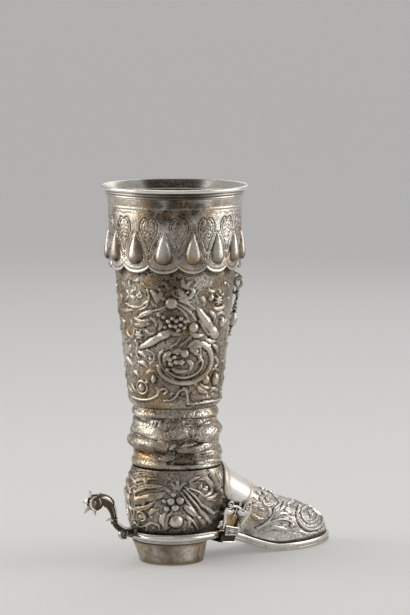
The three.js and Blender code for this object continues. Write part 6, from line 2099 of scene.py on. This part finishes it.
def make_buckle():
    parts = SideParts()
    # The head: two swelling scrolls and a strand over them
    parts.rod([(-1.02, 0.24), (-0.72, 0.16), (-0.45, 0.2), (-0.18, 0.46)], 1.7, 2.8)
    parts.rod([(0.2, 0.64), (0.5, 0.44), (0.86, 0.44), (1.18, 0.74)], 1.7, 2.8)
    parts.rod([(-0.68, 0.6), (-0.5, 0.71), (-0.08, 0.82), (0.31, 0.76), (0.62, 0.7)], 0.95, 2.6, lobes=4)
    # The sides, each a pair of bars
    parts.rod([(-1.06, 0.5), (-1.04, 0.2), (-0.94, -0.1), (-0.74, -0.5), (-0.64, -0.78), (-0.62, -1.15)],
              1.05, 2.9)
    parts.rod([(-0.86, 0.1), (-0.78, -0.12), (-0.6, -0.45), (-0.5, -0.72)], 0.35, 2.6)
    parts.rod([(1.1, 1.02), (1.24, 0.76), (1.27, 0.46), (1.25, 0.08), (1.2, -0.25), (1.12, -0.5)], 1.15, 2.9)
    parts.rod([(1.02, 0.4), (0.98, 0.06), (0.94, -0.24)], 0.35, 2.6)
    # Open spirals at the corners, and buds
    parts.curl((-0.81, 0.80), 0.42, 0.52, 250, 1.4, 1)
    parts.curl((0.83, 1.03), 0.44, 0.55, 300, 1.45, -1)
    parts.curl((-1.06, -0.85), 0.28, 0.42, 60, 1.3, 1)
    parts.curl((1.27, -0.44), 0.28, 0.48, 160, 1.3, -1)
    parts.curl((0.06, 1.0), 0.14, 0.3, -20, 1.1, 1)
    parts.pearl((-1.22, -1.12), 0.95)
    parts.pearl((-0.62, -1.3), 0.6)
    parts.pearl((-1.12, -0.05), 0.5)
    parts.pearl((1.32, 0.3), 0.5)
    parts.build("scroll_buckle", CAST, "silver_bright", "buckle_frame")

    tongue = SideParts()
    tongue.rod([(-0.02, 0.72), (0.06, 0.4), (0.1, 0.16)], 0.5, 2.7, 0.6, 0.7, 2)
    tongue.pearl((0.11, 0.08), 0.8, 2.5)
    tongue.rod([(0.12, 0.0), (0.14, -0.2), (0.16, -0.36)], 0.3, 2.3, 0.5, 0.3)
    tongue.build("buckle_pin", CAST, "silver_bright", "buckle_tongue")


def make_strap_end():
    """A square tab: a raised border with a sprig engraved in its field."""
    n, m = 54, 50
    a, b = np.meshgrid(np.linspace(0, 1, m), np.linspace(0, 1, n))
    corners = np.array([(-0.40, -0.92), (0.80, -0.83), (0.93, -1.42), (-0.25, -1.70)]) * 8
    spots = ((1 - b)[..., None] * ((1 - a)[..., None] * corners[0] + a[..., None] * corners[1])
             + b[..., None] * ((1 - a)[..., None] * corners[3] + a[..., None] * corners[2]))
    edge = np.minimum(np.minimum(a, 1 - a) * 10.2, np.minimum(b, 1 - b) * 6.0)
    h = 1.4 - 0.25 * (1 - smooth(edge, 0, 0.3)) - 0.45 * smooth(edge, 0.85, 1.1)
    x, y = (a - 0.5) * 10.2, (0.5 - b) * 6.0
    sprig = np.zeros_like(a)
    for turn in np.linspace(0, 2 * np.pi, 8, endpoint=False):
        u = x * math.cos(turn) + y * math.sin(turn)
        w = -x * math.sin(turn) + y * math.cos(turn)
        leaf = 1 - ((u - 1.35) / 1.2)**2 - (w / 0.42)**2
        sprig = np.maximum(sprig, np.sqrt(np.clip(leaf, 0, 1)))
    sprig = np.maximum(sprig, np.sqrt(np.clip(1 - (x**2 + y**2) / 0.36, 0, 1)))
    for cx in (-3.4, 3.4):
        d = np.hypot(x - cx, y)
        sprig = np.maximum(sprig, np.exp(-((d - 0.95) / 0.22)**2))
        sprig = np.maximum(sprig, np.exp(-(d / 0.4)**2))
    h = h + 0.42 * sprig * smooth(edge, 1.0, 1.3)
    back = -STRAP_END_Y
    c, s = math.cos(BUCKLE_LEAN), math.sin(BUCKLE_LEAN)
    u, v = spots[..., 0], spots[..., 1]
    place = np.stack([BUCKLE_AT[0] + u * c + v * s, back - 0 * u, BUCKLE_AT[1] - u * s + v * c], -1)
    front = place - np.stack([0 * h, h, 0 * h], -1)
    deep = np.clip(0.35 + (wrap_blur(h, 5, False) - h) * 9, 0, 0.95) * smooth(b, 0.0, 0.16)
    # Polish and a painted highlight along the tab's top edge, fainter on the sprig
    polish_and_highlight = np.maximum(smooth(b, 0.17, 0.05), sprig * 0.3)
    verts = np.concatenate([front.reshape(-1, 3), place.reshape(-1, 3)])
    parts = Parts()
    parts.add(verts, slab_faces(n, m), np.concatenate([deep.ravel(), 0.4 + 0 * deep.ravel()]),
              np.concatenate([polish_and_highlight.ravel(), 0 * polish_and_highlight.ravel()]))
    for k in (0.08, 0.36, 0.64, 0.92):
        spot = place[int(k * (n - 1)), -1] + [0.3, -0.7, 0]
        parts.ball(spot, 0.62, polish_and_highlight=0.4)
    # A bar along the tab's upper edge, with a painted highlight
    edge = np.array([(24.6, -18.5, 10.75), (28.5, -17.5, 10.25), (32.6, -16.75, 9.6), (34.6, -16.4, 9.3)])
    parts.bar(curve(edge), (0, -1, 0.2), lambda f: (0.5, 0.35 + 0 * f), 10, both=True, polish_and_highlight=1.0)
    parts.build("strap_tab", CAST, "silver_bright", "strap_end", sharp=60)


# Floor, light and camera

def looked_at(tree):
    """1 for rays from the camera, also by way of metal or glass, and 0 for light on the object."""
    path = tree.nodes.new("ShaderNodeLightPath")
    mirrored = math_node(tree, "MAXIMUM", path.outputs["Is Glossy Ray"], path.outputs["Is Transmission Ray"])
    return math_node(tree, "MAXIMUM", path.outputs["Is Camera Ray"], mirrored)


FLOOR_R, FLOOR_Z = 60, -0.0002


def make_stage():
    """A wide plain floor and a grey world, whose light and look are set apart."""
    mesh = bpy.data.meshes.new("floor")
    turn = np.linspace(0, 2 * np.pi, 96, endpoint=False)
    ring = [(FLOOR_R * math.cos(a), FLOOR_R * math.sin(a), FLOOR_Z) for a in turn]
    mesh.from_pydata(ring, [], [list(range(len(ring)))])
    floor = bpy.data.objects.new("floor", mesh)
    bpy.context.scene.collection.objects.link(floor)
    mat, tree, shader = nodes_of("floor_paper")
    shader.inputs["Base Color"].default_value = (0.5, 0.49, 0.48, 1)
    shader.inputs["Roughness"].default_value = 0.85
    shader.inputs["Emission Color"].default_value = (0.2, 0.198, 0.194, 1)
    tree.links.new(looked_at(tree), shader.inputs["Emission Strength"])
    mesh.materials.append(mat)
    world = bpy.data.worlds.new("studio")
    bpy.context.scene.world = world
    world.use_nodes = True
    tree = world.node_tree
    tree.nodes.clear()
    out = tree.nodes.new("ShaderNodeOutputWorld")
    shown = tree.nodes.new("ShaderNodeBackground")
    shown.inputs[0].default_value = (0.42, 0.416, 0.408, 1)
    lit = tree.nodes.new("ShaderNodeBackground")
    lit.inputs[0].default_value = (0.5, 0.5, 0.5, 1)
    lit.inputs[1].default_value = 0.9
    both = tree.nodes.new("ShaderNodeMixShader")
    tree.links.new(looked_at(tree), both.inputs[0])
    tree.links.new(lit.outputs[0], both.inputs[1])
    tree.links.new(shown.outputs[0], both.inputs[2])
    tree.links.new(both.outputs[0], out.inputs[0])


def area_light(name, place, target, size, power, colour, spread):
    data = bpy.data.lights.new(name, "AREA")
    data.shape = "RECTANGLE"
    data.size, data.size_y = size
    data.energy = power
    data.color = colour
    data.spread = math.radians(spread)
    lamp = bpy.data.objects.new(name, data)
    bpy.context.scene.collection.objects.link(lamp)
    lamp.location = place
    aim = Vector(target) - Vector(place)
    lamp.rotation_euler = aim.to_track_quat("-Z", "Y").to_euler()
    return lamp


def make_lights():
    """Soft lamps, placed in metres to the right of the picture, into it and up."""
    aim, up = (0.01, 0.0, 0.11), np.array([0, 0, 1.0])
    spots = (
        ("left_box", -1.15, 0.0, 0.47, (1.1, 0.92), 3.0, (1.0, 0.975, 0.94), 105),
        ("right_box", 1.15, 0.05, 0.47, (1.0, 0.92), 2.5, (1.0, 0.99, 0.97), 105),
        ("top_box", -0.1, 0.1, 1.35, (1.0, 0.9), 3.0, (1.0, 0.98, 0.95), 180),
        ("back_box", 0.3, 1.3, 0.8, (1.1, 0.6), 2.0, (1.0, 1.0, 1.0), 180),
    )
    for name, x, y, z, size, power, colour, spread in spots:
        place = RIGHT * x + AHEAD * y + up * z
        area_light(name, tuple(place), aim, size, power, colour, spread)


def make_camera():
    data = bpy.data.cameras.new("camera")
    camera = bpy.data.objects.new("camera", data)
    bpy.context.scene.collection.objects.link(camera)
    data.sensor_fit = "HORIZONTAL"
    data.sensor_width = 36
    data.lens = round(VIEW_FOCUS * data.sensor_width / PHOTO_WIDE, 1)
    data.clip_end = 100
    camera.location = tuple(round(k * MM, 4) for k in EYE.tolist())
    camera.rotation_euler = (math.pi / 2 - VIEW_PITCH, 0, -VIEW_TURN)
    bpy.context.scene.camera = camera


make_leg()
make_ankle()
make_counter()
make_vamp()
make_instep_strap()
make_sole()
make_heel()
make_heel_plate()
make_cuff()
make_rim_lip()
make_yoke()
make_neck()
make_rowel()
make_pin()
make_ornament()
make_buckle()
make_strap_end()

strap = bpy.data.objects["sole_strap"]
strap.data.materials.clear()
strap.data.materials.append(SHADED)

make_stage()
make_lights()
make_camera()
bpy.context.scene.view_settings.view_transform = "Standard"
